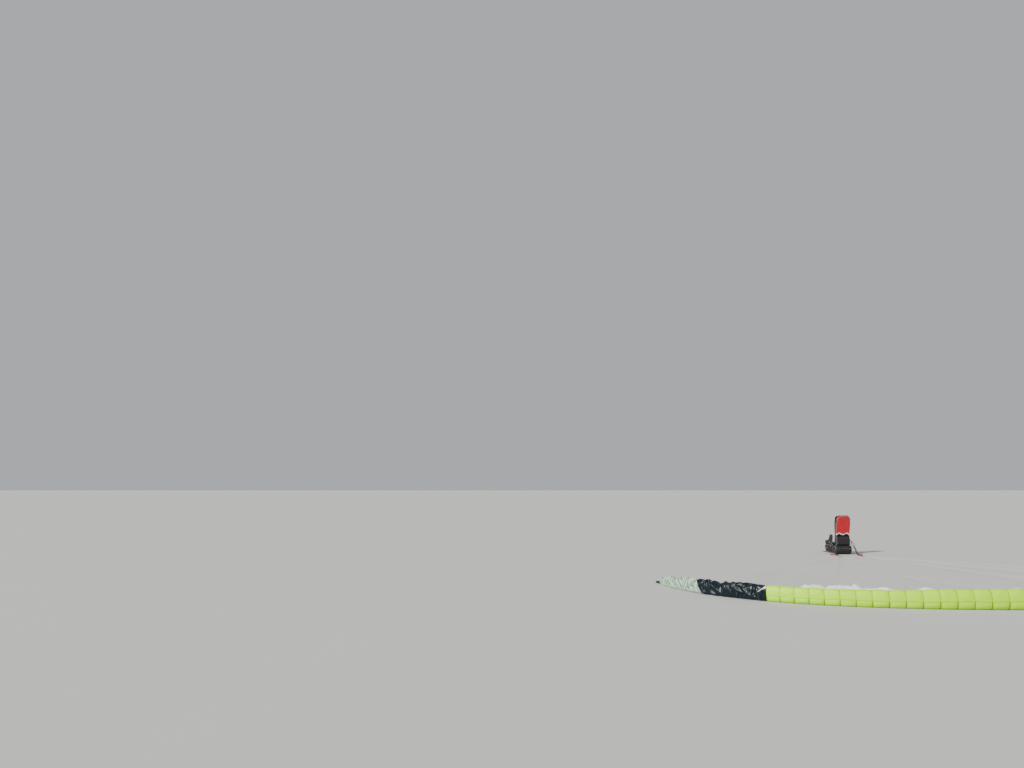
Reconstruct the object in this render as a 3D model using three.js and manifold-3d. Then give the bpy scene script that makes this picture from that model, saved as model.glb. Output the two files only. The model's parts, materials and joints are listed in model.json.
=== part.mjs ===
// A paraglider laid out on the ground before launch. The canopy lies on its upper skin in an arc, with
// its nose standing up. The lines run straight to the risers, and the harness stands behind them.
// Millimetres, +Z up. +Y is the flight direction and -X the paraglider's own left. The nose faces -Y.
import * as THREE from "three";
import { mergeVertices } from "three/addons/utils/BufferGeometryUtils.js";
import Module from "manifold-3d";

const wasm = await Module();
wasm.setup();

// Canopy
const HALF_SPAN = 5800; // along the nose, from the middle to a wing tip
const CELLS = 69;
const MIDDLE_CELL = 1.24; // width of the middle cell, as a share of the mean one
const CELL_POWER = 2.6; // how late the cells start to narrow towards the tips
const TIP_HEADING = THREE.MathUtils.degToRad(86.3); // how far the nose line has turned at the tip
const HEADING_POWER = 2.18;
const UPPER_SKIN = 6; // thickness of the solid
const LOWER_SKIN = 9;
const SCALLOP = 16; // how far a cell swells between its ribs
const GAP = 0.3; // between pieces that touch

// Lines, and the quick links that they end on
const LINE = 1.1; // half the width of a line
const LINK_Y = 6330; // a link's front bar, from the nose
const LINK_X = 228; // the middle one of three
const LINK_PITCH = 15;
const LINK_BAR = 2; // radius
const LINK_LONG = 36;
const LINK_HALF = 5.2;
const EYE_WALL = 2.2; // of a line's or riser's loop round a bar
const EYE_WIDE = 4;
const LINK_Z = 5;

// Risers and carabiners
const STRAP = 12;
const STRAP_T = 2;
const RISER_FOOT = 240; // how much of a riser lies on the ground
const ANCHOR_Z = 330; // where a hanging strap leaves the harness
const CARABINER_BAR = 5.5;
const CARABINER_HALF = 23.5;
const CARABINER_END = 46.5;
const GATE_BAR = 4.2;
const GATE_END = 25;

// Harness
const SEAT_Y = 6880; // where the seat meets the back
const PROTECTOR_Z = 190;
const PROTECTOR_HALF = 185;
const SEAT_DEEP = 384;
const SEAT_T = 27;
const SEAT_HALF = 158;
const BACK_LEAN = THREE.MathUtils.degToRad(14);
const BACK_HIGH = 650;
const BACK_T = 45;
const BACK_HALF = 160;

const colour = (r, g, b) => new THREE.Color().setRGB(r / 255, g / 255, b / 255, THREE.SRGBColorSpace);
const finish = (color, roughness, metalness = 0) =>
  new THREE.MeshStandardMaterial({ color, roughness, metalness });
const LIME = finish(colour(197, 224, 98), 0.5);
const NAVY = finish(colour(30, 50, 68), 0.4);
const MINT = finish(colour(198, 226, 205), 0.45);
const WHITE = finish(colour(226, 230, 228), 0.5);
const CORD = finish(colour(205, 200, 150), 0.7);
const WEBBING = finish(colour(38, 38, 42), 0.8);
const BLACK = finish(colour(24, 24, 27), 0.75);
const RED = finish(colour(186, 40, 52), 0.6);
const STEEL = finish(colour(190, 190, 192), 0.3, 1);
const ALLOY = finish(colour(120, 124, 130), 0.35, 1);
const PLASTIC = finish(colour(30, 30, 32), 0.4);

const paraglider = new THREE.Group();

// Geometry helpers
const v2 = (x, y) => new THREE.Vector2(x, y);
const v3 = (x, y, z) => new THREE.Vector3(x, y, z);
const mix = THREE.MathUtils.lerp;

function closed(points, index) {
  let volume = 0;
  for (let i = 0; i < index.length; i += 3)
    volume += points[index[i]].dot(points[index[i + 1]].clone().cross(points[index[i + 2]]));
  if (volume < 0)
    for (let i = 0; i < index.length; i += 3)
      [index[i + 1], index[i + 2]] = [index[i + 2], index[i + 1]];
  return new THREE.BufferGeometry().setFromPoints(points).setIndex(index);
}

// A solid through rings of points. An outline closes its ends, or it runs round into itself.
function loft(rings, outlines = null) {
  const count = rings[0].length;
  const steps = outlines ? rings.length - 1 : rings.length;
  const index = [];
  for (let i = 0; i < steps; i++)
    for (let k = 0; k < count; k++) {
      const [next, after] = [(k + 1) % count, (i + 1) % rings.length];
      index.push(i * count + k, i * count + next, after * count + next);
      index.push(i * count + k, after * count + next, after * count + k);
    }
  if (outlines) {
    const last = steps * count;
    const turned = THREE.ShapeUtils.isClockWise(outlines[0]);
    const order = (a, b, c) => (turned ? [a, b, c] : [a, c, b]);
    for (const tri of THREE.ShapeUtils.triangulateShape([...outlines[0]], [])) index.push(...order(...tri));
    for (const tri of THREE.ShapeUtils.triangulateShape([...outlines[1]], []))
      index.push(...order(...tri).reverse().map((k) => last + k));
  }
  return closed(rings.flat(), index);
}

function asSolid(geometry) {
  const corners = geometry.index ? geometry.toNonIndexed() : geometry;
  const bare = new THREE.BufferGeometry().setAttribute("position", corners.getAttribute("position"));
  const merged = mergeVertices(bare, 1e-3);
  const vertProperties = merged.attributes.position.array;
  const triVerts = new Uint32Array(merged.index.array);
  return new wasm.Manifold(new wasm.Mesh({ numProp: 3, vertProperties, triVerts }));
}

// Joining rods that meet at sharp angles can leave specks of no volume, which are dropped.
function asGeometry(solid) {
  const [body] = solid.decompose().sort((a, b) => b.volume() - a.volume());
  const made = body.getMesh();
  const at = new Float32Array(made.numVert * 3);
  for (let i = 0; i < made.numVert; i++)
    at.set(made.vertProperties.subarray(i * made.numProp, i * made.numProp + 3), i * 3);
  return new THREE.BufferGeometry()
    .setAttribute("position", new THREE.BufferAttribute(at, 3))
    .setIndex(new THREE.BufferAttribute(new Uint32Array(made.triVerts), 1));
}

const join = (...parts) => asGeometry(parts.map(asSolid).reduce((a, b) => a.add(b)));
const cut = (part, ...tools) =>
  asGeometry(tools.map(asSolid).reduce((a, b) => a.subtract(b), asSolid(part)));

function add(name, geometry, material) {
  const corners = geometry.index ? geometry.toNonIndexed() : geometry;
  corners.computeVertexNormals();
  const mesh = new THREE.Mesh(corners, material);
  mesh.name = name;
  paraglider.add(mesh);
}

// A left piece and its mirror image; the name's * stands for the side.
function addPair(name, geometry, material) {
  const other = geometry.index ? geometry.toNonIndexed() : geometry.clone();
  const at = other.getAttribute("position");
  for (let i = 0; i < at.count; i += 3) {
    const tri = [0, 2, 1].map((k) => v3(-at.getX(i + k), at.getY(i + k), at.getZ(i + k)));
    tri.forEach((p, k) => at.setXYZ(i + k, p.x, p.y, p.z));
  }
  add(name.replace("*", "left"), geometry, material);
  add(name.replace("*", "right"), other, material);
}

const box = (x0, x1, y0, y1, z0, z1) =>
  new THREE.BoxGeometry(x1 - x0, y1 - y0, z1 - z0).translate(
    (x0 + x1) / 2,
    (y0 + y1) / 2,
    (z0 + z1) / 2,
  );

// A rod, strap or line along a path. Its section is w wide along side and t thick.
function strap(path, w, t, side = v3(1, 0, 0), sides = 4, loops = false) {
  const n = path.length;
  const rings = path.map((p, i) => {
    const before = loops ? path[(i + n - 1) % n] : path[Math.max(i - 1, 0)];
    const after = loops ? path[(i + 1) % n] : path[Math.min(i + 1, n - 1)];
    const along = after.clone().sub(before).normalize();
    const up = along.clone().cross(side).normalize();
    const across = sides === 4 ? side : up.clone().cross(along);
    // A square's corners are the half width away; a round rod's are on its circle.
    const reach = sides === 4 ? Math.SQRT2 : 1;
    return Array.from({ length: sides }, (_, k) => {
      const turn = (2 * Math.PI * (k + 0.5)) / sides;
      return p
        .clone()
        .addScaledVector(across, (reach * w * Math.cos(turn)) / 2)
        .addScaledVector(up, (reach * t * Math.sin(turn)) / 2);
    });
  });
  const flat = Array.from({ length: sides }, (_, k) => {
    const turn = (2 * Math.PI * (k + 0.5)) / sides;
    return v2(Math.cos(turn), Math.sin(turn));
  });
  return loft(rings, loops ? null : [flat, flat]);
}
const rod = (path, radius, side, sides = 8, loops = false) =>
  strap(path, 2 * radius, 2 * radius, side, sides, loops);

function line(path) {
  const side = path[1].clone().sub(path[0]).cross(v3(0, 0, 1)).normalize();
  return strap(path, 2 * LINE, 2 * LINE, side);
}

// A loop of strap or line round a bar that lies along X. Its flats, not its corners, clear the bar.
function eye(at, bar, wall, width) {
  const sides = 8;
  const inner = (bar + GAP) / Math.cos(Math.PI / sides);
  const ring = new THREE.Shape().absarc(0, 0, inner + wall, 0, 2 * Math.PI);
  ring.holes.push(new THREE.Path().absarc(0, 0, inner, 0, 2 * Math.PI));
  return new THREE.ExtrudeGeometry(ring, { depth: width, curveSegments: sides, bevelEnabled: false })
    .rotateZ(Math.PI / sides)
    .translate(0, 0, -width / 2)
    .rotateY(Math.PI / 2)
    .translate(at.x, at.y, at.z);
}

// A shape drawn in Y and Z, as wide as from x0 to x1.
function sideways(shape, x0, x1, curveSegments = 4) {
  return new THREE.ExtrudeGeometry(shape, { depth: x1 - x0, curveSegments, bevelEnabled: false })
    .rotateX(Math.PI / 2)
    .rotateZ(Math.PI / 2)
    .translate(x0, 0, 0);
}

function roundedRect(w, h, r, cx = 0, cy = 0) {
  const [a, b] = [w / 2 - r, h / 2 - r];
  return new THREE.Shape()
    .moveTo(cx + w / 2, cy - b)
    .absarc(cx + a, cy + b, r, 0, Math.PI / 2)
    .absarc(cx - a, cy + b, r, Math.PI / 2, Math.PI)
    .absarc(cx - a, cy - b, r, Math.PI, 1.5 * Math.PI)
    .absarc(cx + a, cy - b, r, 1.5 * Math.PI, 2 * Math.PI);
}

// The nose line on the ground, by distance from the middle: its heading and its place
const heading = (s) => Math.sign(s) * TIP_HEADING * (Math.abs(s) / HALF_SPAN) ** HEADING_POWER;
const NOSE_STEPS = 400;
const noseTable = [v3(0, 0, 0)];
for (let i = 0; i < NOSE_STEPS; i++) {
  const step = HALF_SPAN / NOSE_STEPS;
  const turn = heading((i + 0.5) * step);
  noseTable.push(noseTable[i].clone().add(v3(step * Math.cos(turn), step * Math.sin(turn), 0)));
}

// A point of the canopy: s along the nose, n back from it at a right angle, z up.
function place(s, n, z) {
  const at = (Math.min(Math.abs(s), HALF_SPAN) / HALF_SPAN) * NOSE_STEPS;
  const i = Math.min(Math.floor(at), NOSE_STEPS - 1);
  const p = noseTable[i].clone().lerp(noseTable[i + 1], at - i);
  const turn = heading(s);
  return v3(Math.sign(s) * p.x - n * Math.sin(turn), p.y + n * Math.cos(turn), z);
}

// How the canopy lies. Columns: distance from the middle, height of the nose, depth from the nose to
// the trailing edge, and height of the rear fold.
const LAY = [
  [0, 256, 1230, 46],
  [1400, 232, 1280, 52],
  [2300, 204, 1450, 58],
  [3000, 194, 1330, 52],
  [3840, 192, 930, 46],
  [4820, 176, 640, 38],
  [5300, 142, 480, 30],
  [5800, 92, 330, 22],
];
function lay(s, column) {
  const at = Math.min(Math.abs(s), HALF_SPAN);
  const i = Math.max(1, LAY.findIndex((row) => row[0] >= at));
  const share = THREE.MathUtils.smoothstep(at, LAY[i - 1][0], LAY[i][0]);
  return mix(LAY[i - 1][column], LAY[i][column], share);
}
const noseHeight = (s) => lay(s, 1);
const depth = (s) => lay(s, 2);
const rearFold = (s) => lay(s, 3);

// The upper skin's outside, from under the canopy round the nose to the air inlet's upper lip.
// Columns: n and z as shares of the nose's height, and how much of the scallop is felt there.
const NOSE_OUTLINE = [
  [0.34, 0, 0],
  [0.1, 0.04, 0.3],
  [0.01, 0.2, 1],
  [-0.02, 0.43, 0.5],
  [0, 0.7, 1],
  [0.08, 0.91, 1],
  [0.24, 1, 1],
  [0.44, 0.985, 0.8],
  [0.6, 0.92, 0.6],
];
const NOSE_MIDDLE = [0.3, 0.45];

// An open line of points, made into the outline of a skin that lies on its right-hand side.
function skinOutline(line, thickness, lowest) {
  const other = line.map((p, i) => {
    const along = line[Math.min(i + 1, line.length - 1)].clone().sub(line[Math.max(i - 1, 0)]);
    const q = v2(along.y, -along.x).setLength(thickness).add(p);
    return v2(q.x, Math.max(q.y, lowest));
  });
  other[0].x = line[0].x;
  return [...line, ...other.reverse()];
}

function upperOutline({ s, swell }) {
  const h = noseHeight(s);
  const middle = v2(...NOSE_MIDDLE).multiplyScalar(h);
  const line = NOSE_OUTLINE.map(([a, b, felt]) => {
    const p = v2(a * h, b * h);
    return p.add(p.clone().sub(middle).setLength(felt * SCALLOP * (swell - 0.5)));
  });
  line[0].y = 0;
  line[1].y = Math.max(line[1].y, 2);
  line.unshift(v2(depth(s), 0));
  return skinOutline(line, UPPER_SKIN, UPPER_SKIN);
}

// The lower skin's upper side. First the lower lip of the inlet and the slope behind it, as shares of
// the nose's height, then the folds, as shares of the way to the trailing edge and heights.
const LIP = [
  [1, 0.78],
  [1.2, 0.66],
  [1.6, 0.44],
  [2.15, 0.25],
];
const FOLDS = [
  [0.22, 52],
  [0.4, 30],
  [0.56, 46],
  [0.7, 27],
];
const REAR_FOLD = 0.86;
const EDGE_HIGH = 17;
function lowerLine(s) {
  const [h, d] = [noseHeight(s), depth(s)];
  const slopeEnd = Math.min(LIP.at(-1)[0] * h, d / 2);
  const squeeze = slopeEnd / LIP.at(-1)[0];
  const scale = h / noseHeight(0);
  return [
    ...LIP.map(([a, b]) => v2(a * squeeze, b * h)),
    ...FOLDS.map(([share, z]) => v2(mix(slopeEnd, d, share), z * scale)),
    v2(mix(slopeEnd, d, REAR_FOLD), rearFold(s)),
    v2(d - 12, EDGE_HIGH),
  ];
}
const lowerOutline = ({ s }) => skinOutline(lowerLine(s), LOWER_SKIN, UPPER_SKIN + GAP);

// How high the lower skin is at n.
function lowerHeight(s, n) {
  const line = lowerLine(s);
  const i = Math.max(1, line.findIndex((p) => p.x >= n));
  return mix(line[i - 1].y, line[i].y, (n - line[i - 1].x) / (line[i].x - line[i - 1].x));
}

function alongSpan(stations, outline) {
  const flat = stations.map(outline);
  const rings = flat.map((shape, i) => shape.map((p) => place(stations[i].s, p.x, p.y)));
  return loft(rings, [flat[0], flat.at(-1)]);
}

// A rib's place, counted from the left wing tip.
function rib(count) {
  const share = (2 * count) / CELLS - 1;
  const narrowing = (MIDDLE_CELL - 1) * Math.sign(share) * Math.abs(share) ** CELL_POWER;
  return HALF_SPAN * (MIDDLE_CELL * share - narrowing);
}

// From one rib to another, with a small gap at both ends; every cell has a swollen middle.
function upperPanel(first, last) {
  const stations = [];
  for (let i = first; i <= last; i++) {
    const inset = i === first ? GAP / 2 : i === last ? -GAP / 2 : 0;
    stations.push({ s: rib(i) + inset, swell: 0 });
    if (i < last) stations.push({ s: (rib(i) + rib(i + 1)) / 2, swell: 1 });
  }
  return alongSpan(stations, upperOutline);
}

// Stations on every second rib, which is where the lines are fixed.
function lowerPanel(first, last) {
  const ribs = [first];
  for (let i = first + 1; i < last; i++) if (Math.min(i, CELLS - i) % 2 === 1) ribs.push(i);
  ribs.push(last);
  const inset = (i) => (i === first ? GAP / 2 : i === last ? -GAP / 2 : 0);
  return alongSpan(ribs.map((i) => ({ s: rib(i) + inset(i) })), lowerOutline);
}

function addCanopy() {
  const [tip, outer, side] = [9, 15, 28]; // ribs between the skins' panels
  addPair("canopy_*_tip", upperPanel(0, tip), MINT);
  addPair("canopy_*_outer", upperPanel(tip, outer), NAVY);
  addPair("canopy_*", upperPanel(outer, side), LIME);
  add("canopy_centre", upperPanel(side, CELLS - side), LIME);
  addPair("lower_skin_*_outer", lowerPanel(0, outer), WHITE);
  addPair("lower_skin_*", lowerPanel(outer, side), WHITE);
  add("lower_skin_centre", lowerPanel(side, CELLS - side), WHITE);
}

// The rows of lines. from is where a row is fixed, as a share of the depth; over is its height there
// above the rear fold, as a share of the nose's height; layer is its height at the quick links; ribs
// are those that its lines are fixed to, counted from the tip, one group for each lower line.
const LONG_ROW = [[33, 29, 25], [23, 19, 15], [11, 9, 3]];
const ROWS = [
  { name: "a", from: 0.3, over: 0.3, layer: 9.6, link: -1, ribs: LONG_ROW },
  { name: "b", from: 0.55, over: 0.09, layer: 6.9, link: 0, ribs: LONG_ROW },
  { name: "c", from: 0.95, over: -0.1, layer: 4.2, link: 1, ribs: [[33, 27, 23], [19, 15, 9]] },
];
const BRAKE = { fromEdge: 24, layer: 1.5, ribs: [29, 23, 17, 9] };
const CASCADE = 0.62; // where upper lines fork, as a share of the way from the link
const KNOT = 30; // from a link to where its lines part

// Where a line is fixed: the top of its tab, and the tab's foot on the skin.
function fixing(count, n, over) {
  const s = rib(count);
  const floor = Math.max(...[-LINE, LINE].map((aside) => lowerHeight(s, n + aside))) + 2 * GAP;
  const top = Math.max(floor + 3, rearFold(s) + over * noseHeight(s));
  return { top: place(s, n, top), foot: place(s, n, floor) };
}

const middleOf = (ends) =>
  ends.reduce((sum, end) => sum.add(end.top), v3(0, 0, 0)).divideScalar(ends.length);

// Where a line parts into several: a small cross piece, and the places side by side that they leave.
const BESIDE = 2 * LINE + 0.6;
function parting(at, from, count) {
  const side = at.clone().sub(from).cross(v3(0, 0, 1)).normalize();
  const spot = (i) => at.clone().addScaledVector(side, i * BESIDE);
  const cross = strap([spot(-count / 2), spot(count / 2)], 2 * LINE + 0.5, 4, v3(0, 0, 1));
  return { cross, spots: Array.from({ length: count }, (_, i) => spot(i - (count - 1) / 2)) };
}

function lineRow(row) {
  const bar = v3(-LINK_X - row.link * LINK_PITCH, LINK_Y, LINK_Z);
  const knot = v3(bar.x, bar.y - KNOT, row.layer);
  const lower = parting(knot, bar, row.ribs.length);
  const parts = [eye(bar, LINK_BAR, EYE_WALL, EYE_WIDE), lower.cross];
  parts.push(strap([bar.clone().add(v3(0, -LINK_BAR - EYE_WALL / 2, 0)), knot], EYE_WIDE, 2));
  row.ribs.forEach((group, i) => {
    const ends = group.map((count) => fixing(count, row.from * depth(rib(count)), row.over));
    const fork = knot.clone().lerp(middleOf(ends), CASCADE);
    const upper = parting(fork, knot, ends.length);
    parts.push(line([lower.spots[i], fork]), upper.cross);
    ends.forEach(({ top, foot }, k) => parts.push(line([upper.spots[k], top, foot])));
  });
  return join(...parts);
}

const SHEAVE_X = -(LINK_X + LINK_PITCH + 21);
const SHEAVE_Y = LINK_Y + 190;
const SHEAVE_R = 8;
const SHEAVE_Z = [3.2, 6.8];
const HANDLE_LONG = 118;
const HANDLE_WIDE = 66;
const HANDLE_X = -(LINK_X + LINK_PITCH + STRAP / 2 + 3 + HANDLE_WIDE / 2);
const HANDLE_Y = SHEAVE_Y + 74;
function brakeLines() {
  const beside = SHEAVE_X - SHEAVE_R - GAP - LINE;
  const z = (SHEAVE_Z[0] + SHEAVE_Z[1]) / 2;
  const low = v3(beside, LINK_Y, BRAKE.layer);
  const route = [low, v3(beside, SHEAVE_Y - 16, z), v3(beside, SHEAVE_Y + 10, z), v3(HANDLE_X, HANDLE_Y - GAP, z)];
  const ends = BRAKE.ribs.map((i) => fixing(i, depth(rib(i)) - BRAKE.fromEdge, -1));
  const fork = low.clone().lerp(middleOf(ends), CASCADE * 0.8);
  const middle = parting(fork, low, 2);
  const parts = [line([fork, ...route]), middle.cross];
  [ends.slice(0, 2), ends.slice(2)].forEach((pair, i) => {
    const end = fork.clone().lerp(middleOf(pair), 0.45);
    const upper = parting(end, fork, 2);
    parts.push(line([middle.spots[i], end]), upper.cross);
    pair.forEach(({ top, foot }, k) => parts.push(line([upper.spots[k], top, foot])));
  });
  return join(...parts);
}

// A quick link: a long ring of rod that lies flat.
function quickLink(x) {
  const bend = 3;
  const corners = [
    [LINK_HALF, bend],
    [LINK_HALF, LINK_LONG - bend],
    [LINK_HALF - bend, LINK_LONG],
    [bend - LINK_HALF, LINK_LONG],
    [-LINK_HALF, LINK_LONG - bend],
    [-LINK_HALF, bend],
    [bend - LINK_HALF, 0],
    [LINK_HALF - bend, 0],
  ];
  const path = corners.map(([a, b]) => v3(x + a, LINK_Y + b, LINK_Z));
  return rod(path, LINK_BAR, v3(0, 0, 1), 6, true);
}

// The straight way from the ground up to the harness, which riser, carabiner and strap share
const riserFoot = v3(-LINK_X, LINK_Y + LINK_LONG + RISER_FOOT, LINK_Z);
const anchor = v3(-LINK_X, SEAT_Y + 90, ANCHOR_Z);
const upward = anchor.clone().sub(riserFoot).normalize();
const SEWN = 34; // from the carabiner's bar to where the three straps are sewn into one
const LOOP_WIDE = 14; // of the one strap, and of the harness's
const RISER_SLOPE = 258;
const carabinerEnd = riserFoot.clone().addScaledVector(upward, RISER_SLOPE);
const carabinerMiddle = carabinerEnd.clone().addScaledVector(upward, CARABINER_END);
const harnessEnd = carabinerMiddle.clone().addScaledVector(upward, CARABINER_END);
const carabinerPlane = new THREE.Matrix4()
  .makeBasis(v3(1, 0, 0), upward, v3(1, 0, 0).cross(upward))
  .setPosition(carabinerMiddle);

function risers() {
  const along = (far) => carabinerEnd.clone().addScaledVector(upward, -far);
  const parts = [
    eye(carabinerEnd, CARABINER_BAR, STRAP_T, LOOP_WIDE),
    strap([along(CARABINER_BAR + GAP + STRAP_T), along(SEWN)], LOOP_WIDE, STRAP_T + 1),
    strap([along(SEWN - 8), along(SEWN + 8)], 2 * LINK_PITCH + STRAP, STRAP_T + 1.5),
    pulleyShell(),
  ];
  for (const i of [-1, 0, 1]) {
    const x = -LINK_X - i * LINK_PITCH;
    const rear = v3(x, LINK_Y + LINK_LONG, LINK_Z);
    parts.push(eye(rear, LINK_BAR, EYE_WALL, EYE_WIDE));
    const start = rear.clone().add(v3(0, LINK_BAR + 2, 0));
    parts.push(strap([start, v3(x, riserFoot.y, LINK_Z), along(SEWN).setX(x)], STRAP, STRAP_T));
  }
  return join(...parts);
}

// The brake line's pulley: two cheeks and a pin, on the outer riser.
function pulleyShell() {
  const riserEdge = -LINK_X - LINK_PITCH - STRAP / 2;
  const cheek = (z0, z1) => box(SHEAVE_X - 5, riserEdge + 3, SHEAVE_Y - 6, SHEAVE_Y + 6, z0, z1);
  const pin = new THREE.CylinderGeometry(1.6, 1.6, 8, 8).rotateX(Math.PI / 2);
  const web = box(riserEdge - 2.2, riserEdge + 3, SHEAVE_Y - 6, SHEAVE_Y + 6, 1, 9.3);
  return join(
    cheek(1, 2.6),
    cheek(7.7, 9.3),
    pin.translate(SHEAVE_X, SHEAVE_Y, 5),
    web,
  );
}

function sheave() {
  const [z0, z1] = SHEAVE_Z;
  const profile = [
    v2(2, z0),
    v2(SHEAVE_R, z0),
    v2(SHEAVE_R - 1, (z0 + z1) / 2),
    v2(SHEAVE_R, z1),
    v2(2, z1),
    v2(2, z0),
  ];
  return new THREE.LatheGeometry(profile, 20).rotateX(Math.PI / 2).translate(SHEAVE_X, SHEAVE_Y, 0);
}

// A brake handle: a loop of stiff webbing on edge. The brake line ends at the side towards the wing.
function brakeHandle() {
  const outer = roundedRect(HANDLE_WIDE, HANDLE_LONG, 24);
  outer.holes.push(roundedRect(HANDLE_WIDE - 9, HANDLE_LONG - 9, 19.5));
  return new THREE.ExtrudeGeometry(outer, { depth: 20, curveSegments: 4, bevelEnabled: false }).translate(
    HANDLE_X,
    HANDLE_Y + GAP + HANDLE_LONG / 2,
    GAP,
  );
}

// The carabiner is drawn flat, its harness end up, and its gate on the side towards the harness.
function carabiner() {
  const [a, b, r] = [CARABINER_HALF, CARABINER_END, 15];
  const path = [v3(a, -GATE_END, 0)];
  for (const [cx, cy, from] of [
    [a - r, -b + r, 0],
    [-a + r, -b + r, -90],
    [-a + r, b - r, -180],
    [a - r, b - r, -270],
  ])
    for (const step of [0, 30, 60, 90]) {
      const turn = THREE.MathUtils.degToRad(from - step);
      path.push(v3(cx + r * Math.cos(turn), cy + r * Math.sin(turn), 0));
    }
  path.push(v3(a, GATE_END, 0));
  return rod(path, CARABINER_BAR, v3(0, 0, 1)).applyMatrix4(carabinerPlane);
}

// The gate turns about the middle of its round end.
function gate() {
  const reach = GATE_END - 0.4;
  const profile = [0, 30, 60, 90].map((degrees) => {
    const turn = THREE.MathUtils.degToRad(degrees);
    return v2(GATE_BAR * Math.sin(turn), -reach + GATE_BAR * (1 - Math.cos(turn)));
  });
  profile.push(v2(GATE_BAR, reach), v2(0, reach));
  return new THREE.LatheGeometry(profile, 10).translate(CARABINER_HALF, 0, 0).applyMatrix4(carabinerPlane);
}

// The strap that carries a carabiner comes out of the harness's side.
const SIDE_X = 168; // inner face of a side panel
const SIDE_T = 6;
function hangingStrap() {
  const along = (far) => harnessEnd.clone().addScaledVector(upward, far);
  const path = [
    along(CARABINER_BAR + GAP + 3),
    along(44),
    v3(-SIDE_X - SIDE_T - LOOP_WIDE / 2 - GAP, SEAT_Y + 96, ANCHOR_Z + 20),
  ];
  return join(eye(harnessEnd, CARABINER_BAR, 3, LOOP_WIDE), strap(path, LOOP_WIDE, 3));
}

// Harness. The back leans: up is along it, out is towards the wing
const leanUp = v3(0, -Math.sin(BACK_LEAN), Math.cos(BACK_LEAN));
const leanOut = v3(0, -Math.cos(BACK_LEAN), -Math.sin(BACK_LEAN));
const onBack = (x, up, out) =>
  v3(x, SEAT_Y, PROTECTOR_Z + GAP)
    .addScaledVector(leanUp, up)
    .addScaledVector(leanOut, out);
const backPlane = (out) =>
  new THREE.Matrix4().makeBasis(v3(1, 0, 0), leanUp, leanOut).setPosition(onBack(0, 0, out));

function protector() {
  const [back, front, top] = [SEAT_Y - 150, SEAT_Y + 430, PROTECTOR_Z];
  const shape = new THREE.Shape()
    .moveTo(back + 50, 0)
    .lineTo(front - 70, 0)
    .absarc(front - 70, 70, 70, -Math.PI / 2, 0)
    .lineTo(front, top - 30)
    .absarc(front - 30, top - 30, 30, 0, Math.PI / 2)
    .lineTo(back + 30, top)
    .absarc(back + 30, top - 30, 30, Math.PI / 2, Math.PI)
    .lineTo(back, 50)
    .absarc(back + 50, 50, 50, Math.PI, 1.5 * Math.PI);
  return sideways(shape, -PROTECTOR_HALF, PROTECTOR_HALF);
}

// The back is a thick pad whose foot is level.
function back() {
  const shape = new THREE.Shape()
    .moveTo(-BACK_HALF, -20)
    .lineTo(BACK_HALF, -20)
    .lineTo(BACK_HALF - 6, BACK_HIGH - 90)
    .absarc(BACK_HALF - 96, BACK_HIGH - 90, 90, 0, Math.PI / 2)
    .absarc(-BACK_HALF + 96, BACK_HIGH - 90, 90, Math.PI / 2, Math.PI);
  const pad = new THREE.ExtrudeGeometry(shape, { depth: BACK_T, curveSegments: 4, bevelEnabled: false });
  const under = box(-300, 300, SEAT_Y - 300, SEAT_Y + 300, -200, PROTECTOR_Z + GAP);
  return cut(pad.applyMatrix4(backPlane(0)), under);
}

// The red panel: round shoulders, and a lower edge in a shallow V.
function backPanel() {
  const [half, top, foot, dip, r] = [148, BACK_HIGH - 8, 248, 34, 84];
  const shape = new THREE.Shape()
    .moveTo(0, foot - dip)
    .lineTo(half - 30, foot)
    .lineTo(half, foot + 30)
    .lineTo(half, top - r)
    .absarc(half - r, top - r, r, 0, Math.PI / 2)
    .absarc(r - half, top - r, r, Math.PI / 2, Math.PI)
    .lineTo(-half, foot + 30)
    .lineTo(30 - half, foot);
  return new THREE.ExtrudeGeometry(shape, { depth: 24, curveSegments: 4, bevelEnabled: false }).applyMatrix4(
    backPlane(BACK_T + GAP),
  );
}

function reserveContainer() {
  const out = BACK_T + GAP;
  const lower = onBack(0, out * Math.tan(BACK_LEAN), out);
  const high = 205;
  const upper = onBack(0, high, out);
  const shape = new THREE.Shape()
    .moveTo(lower.y, PROTECTOR_Z + GAP)
    .lineTo(upper.y, upper.z)
    .lineTo(upper.y - 40, upper.z - 4)
    .lineTo(SEAT_Y - 138, upper.z - 50)
    .lineTo(SEAT_Y - 138, PROTECTOR_Z + GAP);
  return sideways(shape, -150, 150);
}

const seatTop = PROTECTOR_Z + GAP + SEAT_T;
const SEAT_START = SEAT_Y + 6;
function seat() {
  const [y0, y1] = [SEAT_START, SEAT_START + SEAT_DEEP];
  const outline = roundedRect(2 * SEAT_HALF, y1 - y0, 26, 0, (y0 + y1) / 2);
  return new THREE.ExtrudeGeometry(outline, { depth: SEAT_T, curveSegments: 3, bevelEnabled: false }).translate(
    0,
    0,
    PROTECTOR_Z + GAP,
  );
}

function sidePanel() {
  const base = PROTECTOR_Z + GAP;
  const shape = new THREE.Shape()
    .moveTo(SEAT_Y + 12, base)
    .lineTo(SEAT_Y + 370, base)
    .absarc(SEAT_Y + 355, base + 45, 25, 0, Math.PI / 2)
    .lineTo(SEAT_Y + 210, base + 90)
    .lineTo(SEAT_Y + 120, base + 205)
    .lineTo(SEAT_Y - 20, base + 215);
  return sideways(shape, -SIDE_X - SIDE_T, -SIDE_X);
}

function shoulderStrap() {
  const path = [
    [-30, 2.5],
    [-8, 40],
    [-34, 84],
    [-120, 106],
    [-260, 98],
    [-380, 54],
    [-430, 3.2],
  ].map(([up, out]) => onBack(-92, BACK_HIGH - 40 + up, -out));
  return strap(path, 46, 8);
}

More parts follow.
